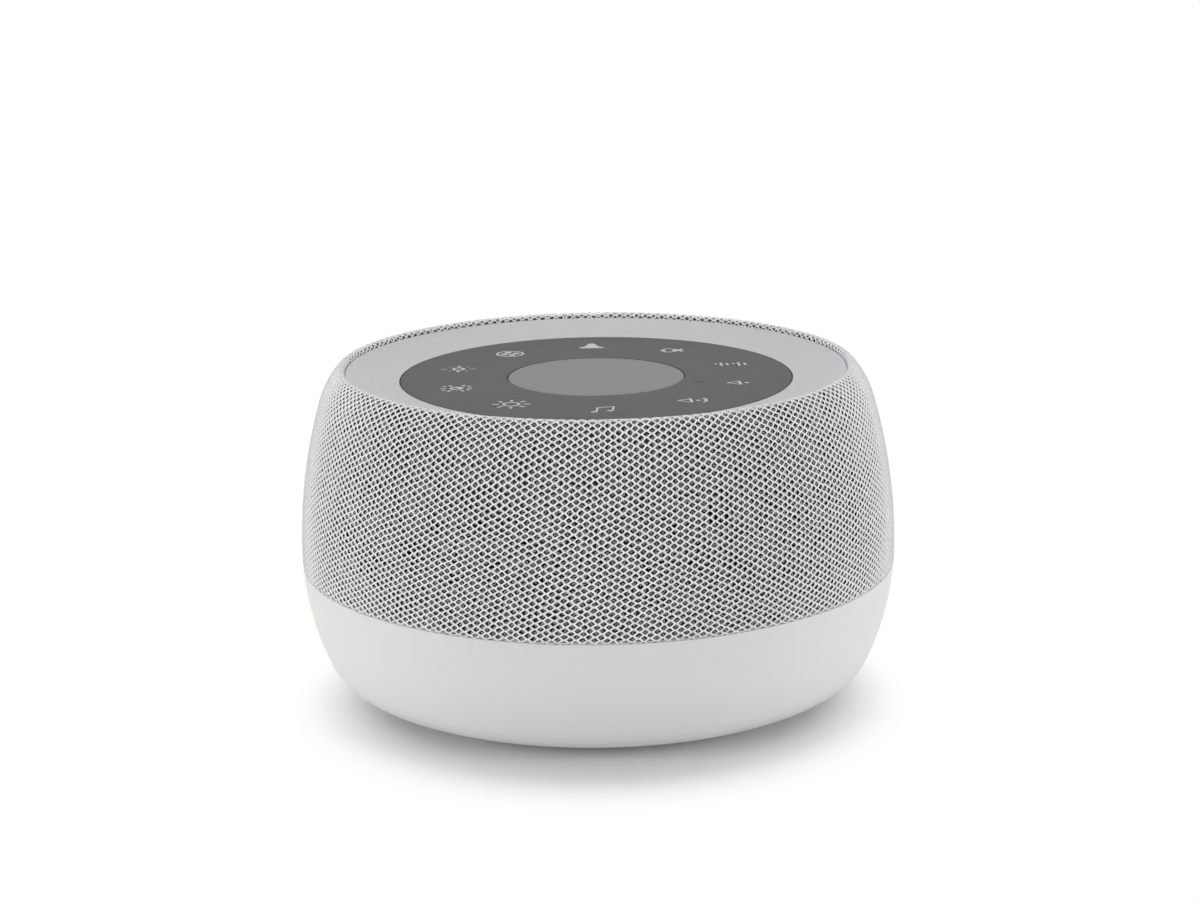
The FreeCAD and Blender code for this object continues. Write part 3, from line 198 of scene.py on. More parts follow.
# %% Floor
FLOOR_SIZE = 6.0
SHADOW_START = 36 * MM
SHADOW_END = 58 * MM
SHADOW_MIDDLE = (0, -14 * MM)
FLOOR_COLOUR = (0.92, 0.92, 0.92, 1)

clear_selection()
bpy.ops.mesh.primitive_plane_add(size=FLOOR_SIZE)
floor = bpy.context.object
floor.name = "floor"
floor_paint = bpy.data.materials.new("floor_paint")
floor_paint.use_nodes = True
floor.data.materials.append(floor_paint)
tree = floor_paint.node_tree
matt = tree.nodes["Principled BSDF"]
matt.inputs["Base Color"].default_value = FLOOR_COLOUR
matt.inputs["Roughness"].default_value = 1.0
matt.inputs["Specular IOR Level"].default_value = 0.0
white = tree.nodes.new("ShaderNodeEmission")
white.inputs["Color"].default_value = WHITE
white.inputs["Strength"].default_value = 1.0
fade = as_share(tree, distance_from(tree, SHADOW_MIDDLE), SHADOW_START, SHADOW_END)
only_seen = tree.nodes.new("ShaderNodeMath")
only_seen.operation = "MULTIPLY"
blend = tree.nodes.new("ShaderNodeMixShader")
tree.links.new(fade, only_seen.inputs[0])
tree.links.new(seen_rays(tree), only_seen.inputs[1])
tree.links.new(only_seen.outputs[0], blend.inputs["Fac"])
tree.links.new(matt.outputs[0], blend.inputs[1])
tree.links.new(white.outputs[0], blend.inputs[2])
tree.links.new(blend.outputs[0], tree.nodes["Material Output"].inputs["Surface"])
print("shadow kept to, mm", round(SHADOW_END / MM))

# %% [markdown]
# ## Finishes
# Almost every hard piece is one of a few trades' work: moulded plastic, pressed or turned metal,
# printed board, paper or rubber. They differ in colour, gloss and the size of their grain, so
# one small recipe makes most of them: a fine noise for the grain, felt as bumps, and a broad,
# faint one that varies colour and gloss, because no real surface is perfectly even.

# %% The recipe
GLOSS_SPREAD = 0.08


def linear(level):
    """A picture's 0 to 255 level as the light that a shader works with."""
    share = level / 255
    return share / 12.92 if share <= 0.04045 else ((share + 0.055) / 1.055) ** 2.4


def colour_of(red, green, blue):
    return (linear(red), linear(green), linear(blue), 1.0)


def varied(tree, source, low, high):
    """A texture's 0 to 1, as a number between low and high."""
    span = tree.nodes.new("ShaderNodeMapRange")
    span.inputs["To Min"].default_value = low
    span.inputs["To Max"].default_value = high
    tree.links.new(source, span.inputs["Value"])
    return span.outputs["Result"]


def noise_of(tree, size, detail=2.0, stretch=(1, 1, 1)):
    """A noise whose lumps are about size across, on the piece's own coordinates."""
    where = tree.nodes.new("ShaderNodeTexCoord")
    shape = tree.nodes.new("ShaderNodeMapping")
    shape.inputs["Scale"].default_value = stretch
    lumps = tree.nodes.new("ShaderNodeTexNoise")
    lumps.inputs["Scale"].default_value = 1 / size
    lumps.inputs["Detail"].default_value = detail
    tree.links.new(where.outputs["Object"], shape.inputs["Vector"])
    tree.links.new(shape.outputs["Vector"], lumps.inputs["Vector"])
    return lumps.outputs["Fac"]


def felt_as_bumps(tree, shader, height, depth):
    """A texture's 0 to 1 felt as bumps of that depth."""
    bump = tree.nodes.new("ShaderNodeBump")
    bump.inputs["Distance"].default_value = depth
    tree.links.new(height, bump.inputs["Height"])
    tree.links.new(bump.outputs["Normal"], shader.inputs["Normal"])


def two_tones(tree, share, first, second):
    """A colour that runs from the first to the second as share goes from 0 to 1."""
    mix = tree.nodes.new("ShaderNodeMix")
    mix.data_type = "RGBA"
    tree.links.new(share, mix.inputs["Factor"])
    mix.inputs["A"].default_value = first
    mix.inputs["B"].default_value = second
    return mix.outputs["Result"]


def darkened(tree, tones, share, shade):
    """A colour that is darkened to shade of itself as share goes from 0 to 1."""
    product = tree.nodes.new("ShaderNodeMix")
    product.data_type = "RGBA"
    product.blend_type = "MULTIPLY"
    product.inputs["Factor"].default_value = 1.0
    tree.links.new(tones, product.inputs["A"])
    tree.links.new(two_tones(tree, share, WHITE, (shade, shade, shade, 1)), product.inputs["B"])
    return product.outputs["Result"]


def scaled(colour, factor):
    return tuple(min(1.0, part * factor) for part in colour[:3]) + (1.0,)


def finish_of(name, colour, roughness, grain=0.3 * MM, depth=0.01 * MM, mottle=0.03, metallic=0.0,
              patch=6 * MM, stretch=(1, 1, 1)):
    """A material: colour and gloss that vary faintly by patches, and a fine grain felt as bumps."""
    made = bpy.data.materials.new(name)
    made.use_nodes = True
    tree = made.node_tree
    shader = tree.nodes["Principled BSDF"]
    shader.inputs["Metallic"].default_value = metallic
    patches = noise_of(tree, patch)
    tones = two_tones(tree, patches, scaled(colour, 1 - mottle), scaled(colour, 1 + mottle))
    tree.links.new(tones, shader.inputs["Base Color"])
    gloss = varied(tree, patches, roughness * (1 - GLOSS_SPREAD), roughness * (1 + GLOSS_SPREAD))
    tree.links.new(gloss, shader.inputs["Roughness"])
    felt_as_bumps(tree, shader, noise_of(tree, grain, stretch=stretch), depth)
    return made


# %% [markdown]
# ## The outer plastics
# The bowl is plain white moulded plastic with a satin skin. The panel is a dark grey film on
# plastic, the key is the same kind in a lighter grey, and the ring between the panel and the
# cover is frosted, so that the lamps under it glow evenly. Light goes a little way into it.

# %% Outer plastics
MATT_SHINE = 0.3
FROST_GLOW = 0.25
FROST_DEPTH = 0.8 * MM

shell_white = finish_of("shell_white", colour_of(217, 217, 215), 0.42, grain=0.25 * MM,
                        depth=0.004 * MM, mottle=0.008, patch=18 * MM)
panel_grey = finish_of("panel_grey", colour_of(72, 72, 74), 0.6, grain=0.12 * MM,
                       depth=0.003 * MM, mottle=0.02)
key_grey = finish_of("key_grey", colour_of(129, 129, 131), 0.6, grain=0.12 * MM,
                     depth=0.003 * MM, mottle=0.02)
window_dark = finish_of("window_dark", colour_of(70, 70, 72), 0.6, grain=0.1 * MM,
                        depth=0.001 * MM, mottle=0.01)
for matt_skin in (panel_grey, key_grey, window_dark):
    shader = matt_skin.node_tree.nodes["Principled BSDF"]
    shader.inputs["Specular IOR Level"].default_value = MATT_SHINE
foot_rubber = finish_of("foot_rubber", colour_of(70, 70, 72), 0.8, grain=0.2 * MM)
frosted = finish_of("frosted", colour_of(190, 190, 193), 0.45, grain=0.08 * MM,
                    depth=0.003 * MM, mottle=0.01)
shader = frosted.node_tree.nodes["Principled BSDF"]
shader.inputs["Subsurface Weight"].default_value = FROST_GLOW
shader.inputs["Subsurface Radius"].default_value = (1.0, 1.0, 1.0)
shader.inputs["Subsurface Scale"].default_value = FROST_DEPTH
print("finishes so far", len(bpy.data.materials))

# %% [markdown]
# Two places are so shallow that their shade is painted. The small window lies a hair deeper than
# the panel's skin, so its front edge keeps a thin dark crescent. The key is slightly dished for
# the finger, so its far edge turns away from the light over a few millimetres.

# %% Shaded edges
WINDOW_CRESCENT = 0.8 * MM
WINDOW_SHADE = 0.22
KEY_CRESCENT = 4.4 * MM
KEY_SHADE = 0.66
FRONT, BACK = 1, -1


def shaded_edge(material, name, width, side, shade):
    """Darken a round piece in a crescent that is width wide, along its front or its back edge."""
    low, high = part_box(name)
    middle = ((low[0] + high[0]) / 2, (low[1] + high[1]) / 2 + side * width)
    radius = (high[0] - low[0]) / 2
    tree = material.node_tree
    tone = tree.nodes["Principled BSDF"].inputs["Base Color"]
    crescent = as_share(tree, distance_from(tree, middle), radius, radius + width)
    own_tone = tone.links[0].from_socket
    tree.links.new(darkened(tree, own_tone, crescent, shade), tone)
    print(name, "radius, mm", round(radius / MM, 2), "crescent", width / MM)


shaded_edge(window_dark, "indicator_lens", WINDOW_CRESCENT, FRONT, WINDOW_SHADE)
shaded_edge(key_grey, "centre_key", KEY_CRESCENT, BACK, KEY_SHADE)

# %% [markdown]
# ## The inner pieces
# They are seen when the machine is opened, so each gets its own finish too: black frame,
# pale deck, boards under green lacquer with copper tracks, the loudspeaker's steel, ferrite,
# paper and rubber, and the wires.

# %% Inner plastics, metals and soft parts
frame_dark = finish_of("frame_dark", colour_of(20, 20, 21), 0.6, depth=0.006 * MM)
inner_white = finish_of("inner_white", colour_of(205, 206, 206), 0.5, depth=0.006 * MM)
steel = finish_of("steel", colour_of(180, 182, 186), 0.32, grain=0.15 * MM, depth=0.004 * MM,
                  mottle=0.05, metallic=1.0, stretch=(1, 1, 0.1))
basket_steel = finish_of("basket_steel", colour_of(60, 61, 64), 0.45, depth=0.006 * MM,
                         metallic=0.6)
can = finish_of("can", colour_of(190, 192, 196), 0.3, grain=0.1 * MM, depth=0.003 * MM,
                metallic=1.0, stretch=(1, 1, 0.1))
magnet = finish_of("magnet", colour_of(52, 51, 52), 0.7, grain=0.15 * MM, depth=0.012 * MM,
                   mottle=0.12)
copper = finish_of("copper", colour_of(196, 128, 92), 0.35, grain=0.2 * MM, depth=0.003 * MM,
                   metallic=1.0, mottle=0.08)
chip_black = finish_of("chip_black", colour_of(34, 34, 36), 0.6, grain=0.1 * MM, depth=0.006 * MM)
lamp = finish_of("lamp", colour_of(236, 226, 176), 0.35, depth=0.002 * MM, patch=1.5 * MM)
plug_white = finish_of("plug_white", colour_of(222, 220, 210), 0.5)
tape = finish_of("tape", colour_of(228, 226, 214), 0.6, grain=0.4 * MM)
paper = finish_of("paper", colour_of(40, 38, 36), 0.9, grain=0.18 * MM, depth=0.03 * MM,
                  mottle=0.15, patch=1.2 * MM)
soft_rubber = finish_of("soft_rubber", colour_of(32, 32, 33), 0.75, grain=0.15 * MM,
                        depth=0.006 * MM)
wire_skin = finish_of("wire_skin", colour_of(178, 40, 36), 0.45, depth=0.004 * MM)
print("finishes so far", len(bpy.data.materials))

# %% [markdown]
# A printed board, a flat ribbon and the loudspeaker's woven spider have a regular pattern, and
# its colour and its relief go together. So one pattern drives both: bricks for copper tracks,
# parallel ridges for the ribbon's wires, two sets of ridges for the weave.

# %% Boards, ribbon and spider cloth
WAVE_AT_SCALE_ONE = 0.314  # a wave texture's length at scale 1, in metres


def patterned(name, roughness, pattern, first, second, depth):
    """A material whose two colours and bumps follow one pattern. pattern takes the node tree."""
    made = bpy.data.materials.new(name)
    made.use_nodes = True
    tree = made.node_tree
    shader = tree.nodes["Principled BSDF"]
    share = pattern(tree)
    tree.links.new(two_tones(tree, share, first, second), shader.inputs["Base Color"])
    shader.inputs["Roughness"].default_value = roughness
    felt_as_bumps(tree, shader, share, depth)
    return made


def tracks(tree):
    """Copper tracks under lacquer: long thin bricks, with the lacquer over the joints."""
    where = tree.nodes.new("ShaderNodeTexCoord")
    bricks = tree.nodes.new("ShaderNodeTexBrick")
    bricks.inputs["Scale"].default_value = 1.0
    bricks.inputs["Brick Width"].default_value = 5.2 * MM
    bricks.inputs["Row Height"].default_value = 0.9 * MM
    bricks.inputs["Mortar Size"].default_value = 0.18 * MM
    bricks.offset = 0.37
    tree.links.new(where.outputs["Object"], bricks.inputs["Vector"])
    return bricks.outputs["Fac"]


def stripes(direction, size):
    """Parallel ridges, size apart, across one direction."""
    def pattern(tree):
        where = tree.nodes.new("ShaderNodeTexCoord")
        waves = tree.nodes.new("ShaderNodeTexWave")
        waves.bands_direction = direction
        waves.inputs["Scale"].default_value = WAVE_AT_SCALE_ONE / size
        tree.links.new(where.outputs["Object"], waves.inputs["Vector"])
        return waves.outputs["Fac"]
    return pattern


def weave(size):
    """Two sets of ridges across each other, as in a plain cloth."""
    def pattern(tree):
        both = tree.nodes.new("ShaderNodeMath")
        both.operation = "MULTIPLY"
        for number, direction in enumerate("XY"):
            tree.links.new(stripes(direction, size)(tree), both.inputs[number])
        return both.outputs[0]
    return pattern


board_green = patterned("board_green", 0.35, tracks, colour_of(26, 84, 56),
                        colour_of(20, 60, 42), 0.02 * MM)
ribbon = patterned("ribbon", 0.4, stripes("X", 1.0 * MM), colour_of(214, 212, 204),
                   colour_of(150, 148, 142), 0.05 * MM)
spider_cloth = patterned("spider_cloth", 0.9, weave(0.5 * MM), colour_of(120, 96, 60),
                         colour_of(176, 146, 98), 0.06 * MM)
print("patterned finishes", board_green.name, ribbon.name, spider_cloth.name)

# %% [markdown]
# Each finish lists the pieces that it goes on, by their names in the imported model. The plain
# solid of the knit gets one too, although the stitches will take its place.

# %% Every node gets its finish
FINISHES = {
    shell_white: "base_shell",
    panel_grey: "touch_panel",
    key_grey: "centre_key",
    window_dark: "indicator_lens",
    frosted: "light_ring",
    foot_rubber: "foot_ring",
    frame_dark: "grille_frame baffle_plate fabric_sleeve",
    inner_white: "control_deck",
    steel: "base_screws deck_screws switch_screws speaker_screws board_screws speaker_front_washer "
           "speaker_yoke switch_dome usb_socket",
    basket_steel: "speaker_basket",
    can: "board_capacitors",
    magnet: "speaker_magnet",
    copper: "voice_coil touch_pads",
    chip_black: "board_chips switch_body usb_tongue",
    lamp: "leds",
    plug_white: "lead_plugs touch_board_connector ribbon_connector switch_plunger",
    tape: "panel_tape",
    paper: "speaker_cone speaker_dust_cap",
    soft_rubber: "speaker_surround speaker_gasket cable_grommets",
    wire_skin: "speaker_leads lamp_lead",
    board_green: "main_board touch_board led_board switch_board",
    ribbon: "ribbon_cable speaker_terminals",
    spider_cloth: "speaker_spider",
}
dressed = 0
for material, names in FINISHES.items():
    for name in names.split():
        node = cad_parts[name]
        node.data.materials.clear()
        node.data.materials.append(material)
        dressed += 1
print("nodes dressed", dressed, "of", len(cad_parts))

# %% [markdown]
# ## The printed symbols
# Ten small signs are printed in pale grey in a circle on the panel: lamp, fan, sound and timer
# pictures of the usual kind. Print is a very thin layer, so each sign is drawn from flat bars,
# rings and discs, laid a hair above the panel and joined into one piece. A bar is a plane that
# is stretched and turned; a ring is a circle whose inside is inset and taken out. Strokes cross,
# so each lies a trace higher than the one before it: two faces at one height would turn black.

# %% Ink tools
INK_LIFT = 0.015 * MM
INK_STEP = 0.002 * MM
panel_low, panel_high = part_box("touch_panel")
ink_z = panel_high[2] + INK_LIFT
SIGN_CIRCLE = 27.0 * MM
SIGN_STEP = 36.0
FIRST_SIGN = 91.8


def new_flat_piece(name):
    """An empty mesh object at the origin, open in edit mode."""
    mesh = bpy.data.meshes.new(name)
    piece = bpy.data.objects.new(name, mesh)
    bpy.context.scene.collection.objects.link(piece)
    edit(piece)
    return piece


class Sign:
    """One sign's place. Its own x runs right and its y away from the viewer, in millimetres."""

    def __init__(self, number):
        self.strokes = 0
        turn = math.radians(FIRST_SIGN - number * SIGN_STEP)
        self.x = SIGN_CIRCLE * math.cos(turn)
        self.y = SIGN_CIRCLE * math.sin(turn)

    def point(self, x, y):
        return Vector((self.x + x * MM, self.y + y * MM, ink_z + self.strokes * INK_STEP))

    def bar(self, start, end, width):
        """A straight stroke between two points."""
        self.strokes += 1
        start, end = self.point(*start), self.point(*end)
        middle = (start + end) / 2
        along = end - start
        bpy.ops.mesh.primitive_plane_add(size=1, location=middle)
        bpy.ops.transform.resize(value=(along.length, width * MM, 1))
        turn = math.atan2(along.y, along.x)
        bpy.ops.transform.rotate(value=-turn, orient_axis="Z", center_override=middle)

    def line(self, width, *points):
        """A bent stroke: a bar between each two points, and a dot on each corner."""
        for start, end in zip(points, points[1:]):
            self.bar(start, end, width)
        for corner in points[1:-1]:
            self.disc(corner, width / 2, sides=10)

    def disc(self, centre, radius, sides=24, squash=1.0):
        self.strokes += 1
        place = self.point(*centre)
        bpy.ops.mesh.primitive_circle_add(vertices=sides, radius=radius * MM, fill_type="NGON",
                                          location=place)
        if squash != 1.0:
            bpy.ops.transform.resize(value=(1, squash, 1))

    def ring(self, centre, radius, width, squash=1.0, sides=32):
        self.disc(centre, radius, sides, squash)
        bpy.ops.mesh.inset(thickness=width * MM)
        bpy.ops.mesh.delete(type="FACE")

    def arc(self, centre, radius, width, first, last, steps=8):
        """A curved stroke between two angles, in degrees."""
        turns = [math.radians(first + (last - first) * n / steps) for n in range(steps + 1)]
        points = [(centre[0] + radius * math.cos(turn), centre[1] + radius * math.sin(turn))
                  for turn in turns]
        for start, end in zip(points, points[1:]):
            self.bar(start, end, width)


# %% Ten signs
symbols = new_flat_piece("panel_symbols")
bell, loop, bars, quieter, louder = (Sign(number) for number in range(5))
notes, sun, dimmed_sun, small_sun, fan = (Sign(number) for number in range(5, 10))

# A bell: a dome over a wide foot, from the top down
BELL_HALF_WIDTHS = (0.45, 0.75, 0.9, 1.0, 1.1, 1.3, 1.7, 2.2, 2.4)
BELL_TOP, BELL_STEP, BELL_STROKE = 2.35, 0.5, 0.52
for step, half in enumerate(BELL_HALF_WIDTHS):
    height = BELL_TOP - BELL_STEP * step
    bell.bar((-half, height), (half, height), BELL_STROKE)

# A loop that ends in a knot
loop.disc((-2.3, -0.4), 0.5, 14)
loop.ring((-1.15, -0.25), 1.3, 0.42, squash=1.35)
loop.line(0.66, (-0.2, 0.9), (0.7, -0.25), (1.55, 0.95))
loop.line(0.66, (-0.2, -1.3), (0.7, -0.25), (1.55, -1.3))

# Six sound bars, leaning a little: place, top and foot
SOUND_BARS = ((-2.93, 0.3, -0.5), (-1.95, 1.0, -1.7), (-0.8, 0.55, -1.0),
              (0.36, 0.4, -0.4), (1.35, 1.1, -1.8), (2.5, 0.6, -1.1))
for x, top, foot in SOUND_BARS:
    bars.bar((x - 0.08, top), (x + 0.12, foot), 0.46)

# Two loudspeakers, louder with one wave more
for sign in (quieter, louder):
    sign.line(0.34, (-2.1, 0.3), (0.05, 1.6), (0.2, -1.05), (-2.1, 0.2))
    sign.bar((-0.02, 1.7), (0.3, -1.2), 0.5)
    sign.disc((-2.0, 0.25), 0.32, 12)
    sign.disc((1.4, 0.2), 0.44, 16)
louder.arc((0.9, 0.3), 1.95, 0.55, -48, 50, 8)

# Two joined notes
notes.line(0.36, (-0.85, -2.0), (-0.6, 1.2), (2.2, 1.85), (1.95, -1.3))
notes.disc((-1.3, -2.0), 0.55, 16, squash=0.8)
notes.disc((1.5, -1.3), 0.55, 16, squash=0.8)


def rays(sign, count, inner, outer, width, first=0.0, middle=(0, 0)):
    """Short strokes all round a middle."""
    for ray in range(count):
        turn = math.radians(first + ray * 360 / count)
        across, back = math.cos(turn), math.sin(turn)
        sign.bar((middle[0] + inner * across, middle[1] + inner * back),
                 (middle[0] + outer * across, middle[1] + outer * back), width)


# Three suns: a bright one, one that is half covered and a small one
SUN_MIDDLE, DIMMED_MIDDLE, SMALL_MIDDLE = (0.27, 0.0), (0.15, 0.1), (0.2, -0.05)
sun.ring(SUN_MIDDLE, 1.6, 0.48)
rays(sun, 8, 2.15, 3.35, 0.52, middle=SUN_MIDDLE)

dimmed_sun.ring(DIMMED_MIDDLE, 1.2, 0.5)
dimmed_sun.line(1.0, (0.1, 1.0), (1.3, 0.1))
rays(dimmed_sun, 6, 1.95, 2.85, 0.6, middle=DIMMED_MIDDLE)
for lean in (35, -35):
    rays(dimmed_sun, 2, 2.3, 3.1, 0.5, first=lean, middle=DIMMED_MIDDLE)

small_sun.ring(SMALL_MIDDLE, 1.25, 0.52)
rays(small_sun, 2, 1.6, 2.6, 0.55, first=90, middle=SMALL_MIDDLE)
rays(small_sun, 2, 2.0, 3.3, 0.28, middle=SMALL_MIDDLE)
rays(small_sun, 4, 1.9, 2.7, 0.16, first=45, middle=SMALL_MIDDLE)

# A fan: blades in a ring
FAN_MIDDLE = Vector((0.05, -0.6))
BLADES = 4
fan.ring(FAN_MIDDLE, 2.7, 0.42)
for blade in range(BLADES):
    turn = math.radians(20 + blade * 360 / BLADES)
    fan.disc(FAN_MIDDLE + 1.2 * Vector((math.cos(turn), math.sin(turn))), 0.7, 14)
leave_edit()
print("signs' faces", len(symbols.data.polygons))

# %% [markdown]
# The ink is pale grey and dull, and a little thinner here and there. It stays on the panel.

# %% Ink
ink = finish_of("ink", colour_of(194, 195, 196), 0.6, grain=0.05 * MM, depth=0.002 * MM,
                mottle=0.05, patch=0.6 * MM)
symbols.data.materials.append(ink)
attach(symbols, "housing")

# %% [markdown]
# ## The knitted cover
# The cover is a tube of open knit, pulled over the slotted frame and held under the bowl's edge
# and inside the rim. Its yarns make small diamond meshes in staggered rows, and through each
# mesh a loop of the knit's back layer shows against the dark frame. From this close the meshes
# are shapes and not a pattern, so they are modelled. One stitch is made: a flat diamond
# with a rounded hole in its middle, whose edge is pushed in, so that what stays is the yarn. It
# is then repeated into a flat cloth, and the cloth is laid round the frame, which is what
# happens to the real one. Laying it round needs a formula for every point, so that step is mesh
# code.

# %% One stitch
MESHES_ROUND = 168
FLAT_PITCH = 2.057 * MM
FLAT_ROW = 0.52 * MM
YARN_DEPTH = 0.22 * MM
CORNER_RISE = 0.03 * MM
HOLE_ACROSS = 0.5626
HOLE_UP = 0.776
HOLE_SIDE = 0.36375
HOLE_INSET = 0.3

clear_selection()
bpy.ops.mesh.primitive_circle_add(vertices=8, radius=1, fill_type="NGON")
stitch = bpy.context.object
stitch.name = "stitch"
edit(stitch)
bpy.ops.mesh.inset(thickness=HOLE_INSET)
bpy.ops.mesh.delete(type="FACE")
leave_edit()

# The circle's points become the diamond's corners and the middles of its sides. The inset ones
# become the hole's edge, deeper than the diamond.
half_across, half_up = FLAT_PITCH / 2, FLAT_ROW
between = 1 - HOLE_INSET / 2
for vertex in stitch.data.vertices:
    eighth = round(math.degrees(math.atan2(vertex.co.y, vertex.co.x)) / 45) % 8
    corner = eighth % 2 == 0
    side_x = (1, 1, 0, -1, -1, -1, 0, 1)[eighth]
    side_y = (0, 1, 1, 1, 0, -1, -1, -1)[eighth]
    if vertex.co.length > between:
        across, up = (1.0, 1.0) if corner else (0.5, 0.5)
        rise = CORNER_RISE if corner else 0.0
    else:
        across, up = (HOLE_ACROSS, HOLE_UP) if corner else (HOLE_SIDE, HOLE_SIDE)
        rise = -YARN_DEPTH
    vertex.co = (side_x * across * half_across, side_y * up * half_up, rise)
print("a stitch has", len(stitch.data.polygons), "faces")

# %% [markdown]
# The back layer's loop is one short piece of yarn that comes from one side of the mesh to its
# middle and curls there. It is a small three-sided tube: a triangle pushed out along the loop's
# line.

# %% One back loop
LOOP_YARN = 0.09 * MM
TUBE_CORNERS = (math.radians(90), math.radians(210), math.radians(330))
LOOP_LINE = ((0.60, -0.16, -0.49), (0.34, 0.06, -0.40), (0.08, 0.15, -0.34), (-0.14, 0.03, -0.36),
             (-0.08, -0.16, -0.42), (0.12, -0.18, -0.49))


def tube_points(line, radius):
    """Three points round each place of a line, square to its direction."""
    rows = []
    for number, here in enumerate(line):
        before, after = line[max(number - 1, 0)], line[min(number + 1, len(line) - 1)]
        along = (Vector(after) - Vector(before)).normalized()
        side = along.cross(Vector((0, 0, 1))).normalized()
        up = side.cross(along)
        rows.append([
            Vector(here) + (side * math.cos(turn) + up * math.sin(turn)) * radius
            for turn in TUBE_CORNERS
        ])
    return rows


line = [(x * MM, y * MM, z * MM) for x, y, z in LOOP_LINE]
rows = tube_points(line, LOOP_YARN)
clear_selection()
bpy.ops.mesh.primitive_circle_add(vertices=len(TUBE_CORNERS), radius=LOOP_YARN)
back_loop = bpy.context.object
back_loop.name = "back_loop"
edit(back_loop)
for step in range(len(line) - 1):
    bpy.ops.mesh.extrude_region_move(TRANSFORM_OT_translate={"value": (0, 0, LOOP_YARN)})
leave_edit()
levels = sorted(back_loop.data.vertices,
                key=lambda v: (round(v.co.z, 6), math.atan2(v.co.y, v.co.x)))
for number, vertex in enumerate(levels):
    step, corner = divmod(number, len(TUBE_CORNERS))
    vertex.co = rows[step][corner]
print("a back loop has", len(back_loop.data.polygons), "faces")

# %% [markdown]
# ## The cover's line
# The cloth follows one line from the bottom up: its hem tucks in over the bowl's edge, it goes
# up the side in a short arc and a long one, turns in round the crown, rolls over the rim and
# ends down inside it. All places come from the plain solid that stands for the cloth.

# %% The line that the cloth follows
SIDE_RADIUS = 96.8 * MM
LOW_SIDE_RADIUS = 48.0 * MM
WIDEST_Z = 26.0 * MM
CROWN_RADIUS = 15.6 * MM
CROWN_TURN = math.radians(16.8)
RIM_RADIUS = 0.8 * MM
HEM_RADIUS = 0.03 * MM
HEM_SNAP = 0.15 * MM
HEM_REACH = 1.2 * MM
LEG_REACH = 2.6 * MM
HEM_LIFT = 0.02 * MM
SPARE = 0.7 * MM

cover_low, cover_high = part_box("fabric_sleeve")
widest = cover_high[0]
rim_z = cover_high[2] - RIM_RADIUS
side_middle = (widest - SIDE_RADIUS, WIDEST_Z)
low_middle = (widest - LOW_SIDE_RADIUS, WIDEST_Z)
crown_middle = (side_middle[0] + (SIDE_RADIUS - CROWN_RADIUS) * math.cos(CROWN_TURN),
                side_middle[1] + (SIDE_RADIUS - CROWN_RADIUS) * math.sin(CROWN_TURN))
rim_rise = rim_z - crown_middle[1]
rim_r = crown_middle[0] + math.sqrt((CROWN_RADIUS - RIM_RADIUS) ** 2 - rim_rise ** 2)
rim_turn = math.atan2(rim_rise, rim_r - crown_middle[0])
hem_z = cover_low[2] + HEM_RADIUS + HEM_LIFT
hem_turn = math.asin((hem_z - WIDEST_Z) / LOW_SIDE_RADIUS)
hem_r = low_middle[0] + LOW_SIDE_RADIUS * math.cos(hem_turn) - HEM_RADIUS


def arc_points(middle, radius, first, last, count=160):
    """Points of an arc with the directions that face out there: r, z, out_r, out_z."""
    turns = np.linspace(first, last, count)
    out = np.stack([np.cos(turns), np.sin(turns)], 1)
    return np.concatenate([np.array(middle) + radius * out, out], 1)


def straight_points(start, end, out, count=20):
    """Points of a straight stretch that faces out one way, in the same form."""
    shares = np.linspace(0, 1, count)[:, None]
    places = np.array(start) * (1 - shares) + np.array(end) * shares
    return np.concatenate([places, np.tile(out, (count, 1))], 1)


hem_end = (hem_r - HEM_REACH - SPARE, hem_z - HEM_RADIUS)
leg_r, leg_end_z = rim_r - RIM_RADIUS, rim_z - LEG_REACH - SPARE
runs = [
    straight_points(hem_end, (hem_r, hem_z - HEM_RADIUS), (0, -1)),
    arc_points((hem_r, hem_z), HEM_RADIUS, -math.pi / 2, hem_turn, 20),
    arc_points(low_middle, LOW_SIDE_RADIUS, hem_turn, 0),
    arc_points(side_middle, SIDE_RADIUS, 0, CROWN_TURN, 400),
    arc_points(crown_middle, CROWN_RADIUS, CROWN_TURN, rim_turn),
    arc_points((rim_r, rim_z), RIM_RADIUS, rim_turn, math.pi),
    straight_points((leg_r, rim_z), (leg_r, leg_end_z), (-1, 0)),
]
cover_line = np.concatenate(runs)
steps = np.linalg.norm(np.diff(cover_line[:, :2], axis=0), axis=1)
cover_length = np.concatenate([[0.0], np.cumsum(steps)])
fold_length = HEM_REACH + SPARE + HEM_RADIUS * (math.pi / 2 + hem_turn) / 2
cloth_length = cover_length[-1] - 2 * SPARE
print("cloth from hem to inner edge, mm", round(cloth_length / MM, 1))
print("rim circle's radius, mm", round(rim_r / MM, 2))

# %% [markdown]
# Inside the rim one looks through the knit onto the frame's lip. A dark lip would show as a row
# of black dots there, so the frame is taken as sprayed dark only outside the rim circle, and
# its lip as left in the pale tone of the moulding.

# %% The frame's pale lip
LIP_FADE = 0.6 * MM
FRAME_DARK = colour_of(20, 20, 21)
LIP_PALE = colour_of(186, 186, 188)

frame_skin = finish_of("frame_skin", FRAME_DARK, 0.6, depth=0.006 * MM)
tree = frame_skin.node_tree
outward = as_share(tree, distance_from(tree, (0, 0)), rim_r - LIP_FADE, rim_r)
tree.links.new(two_tones(tree, outward, LIP_PALE, FRAME_DARK),
               tree.nodes["Principled BSDF"].inputs["Base Color"])
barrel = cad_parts["grille_frame"]
barrel.data.materials.clear()
barrel.data.materials.append(frame_skin)
print("pale inside a circle of, mm", round(rim_r / MM, 2))

# %% [markdown]
# ## Rows of the knit
# The rows lie a little closer at the hem than further up, where the cloth is pulled harder.
# They are counted out along the line until its end is reached.

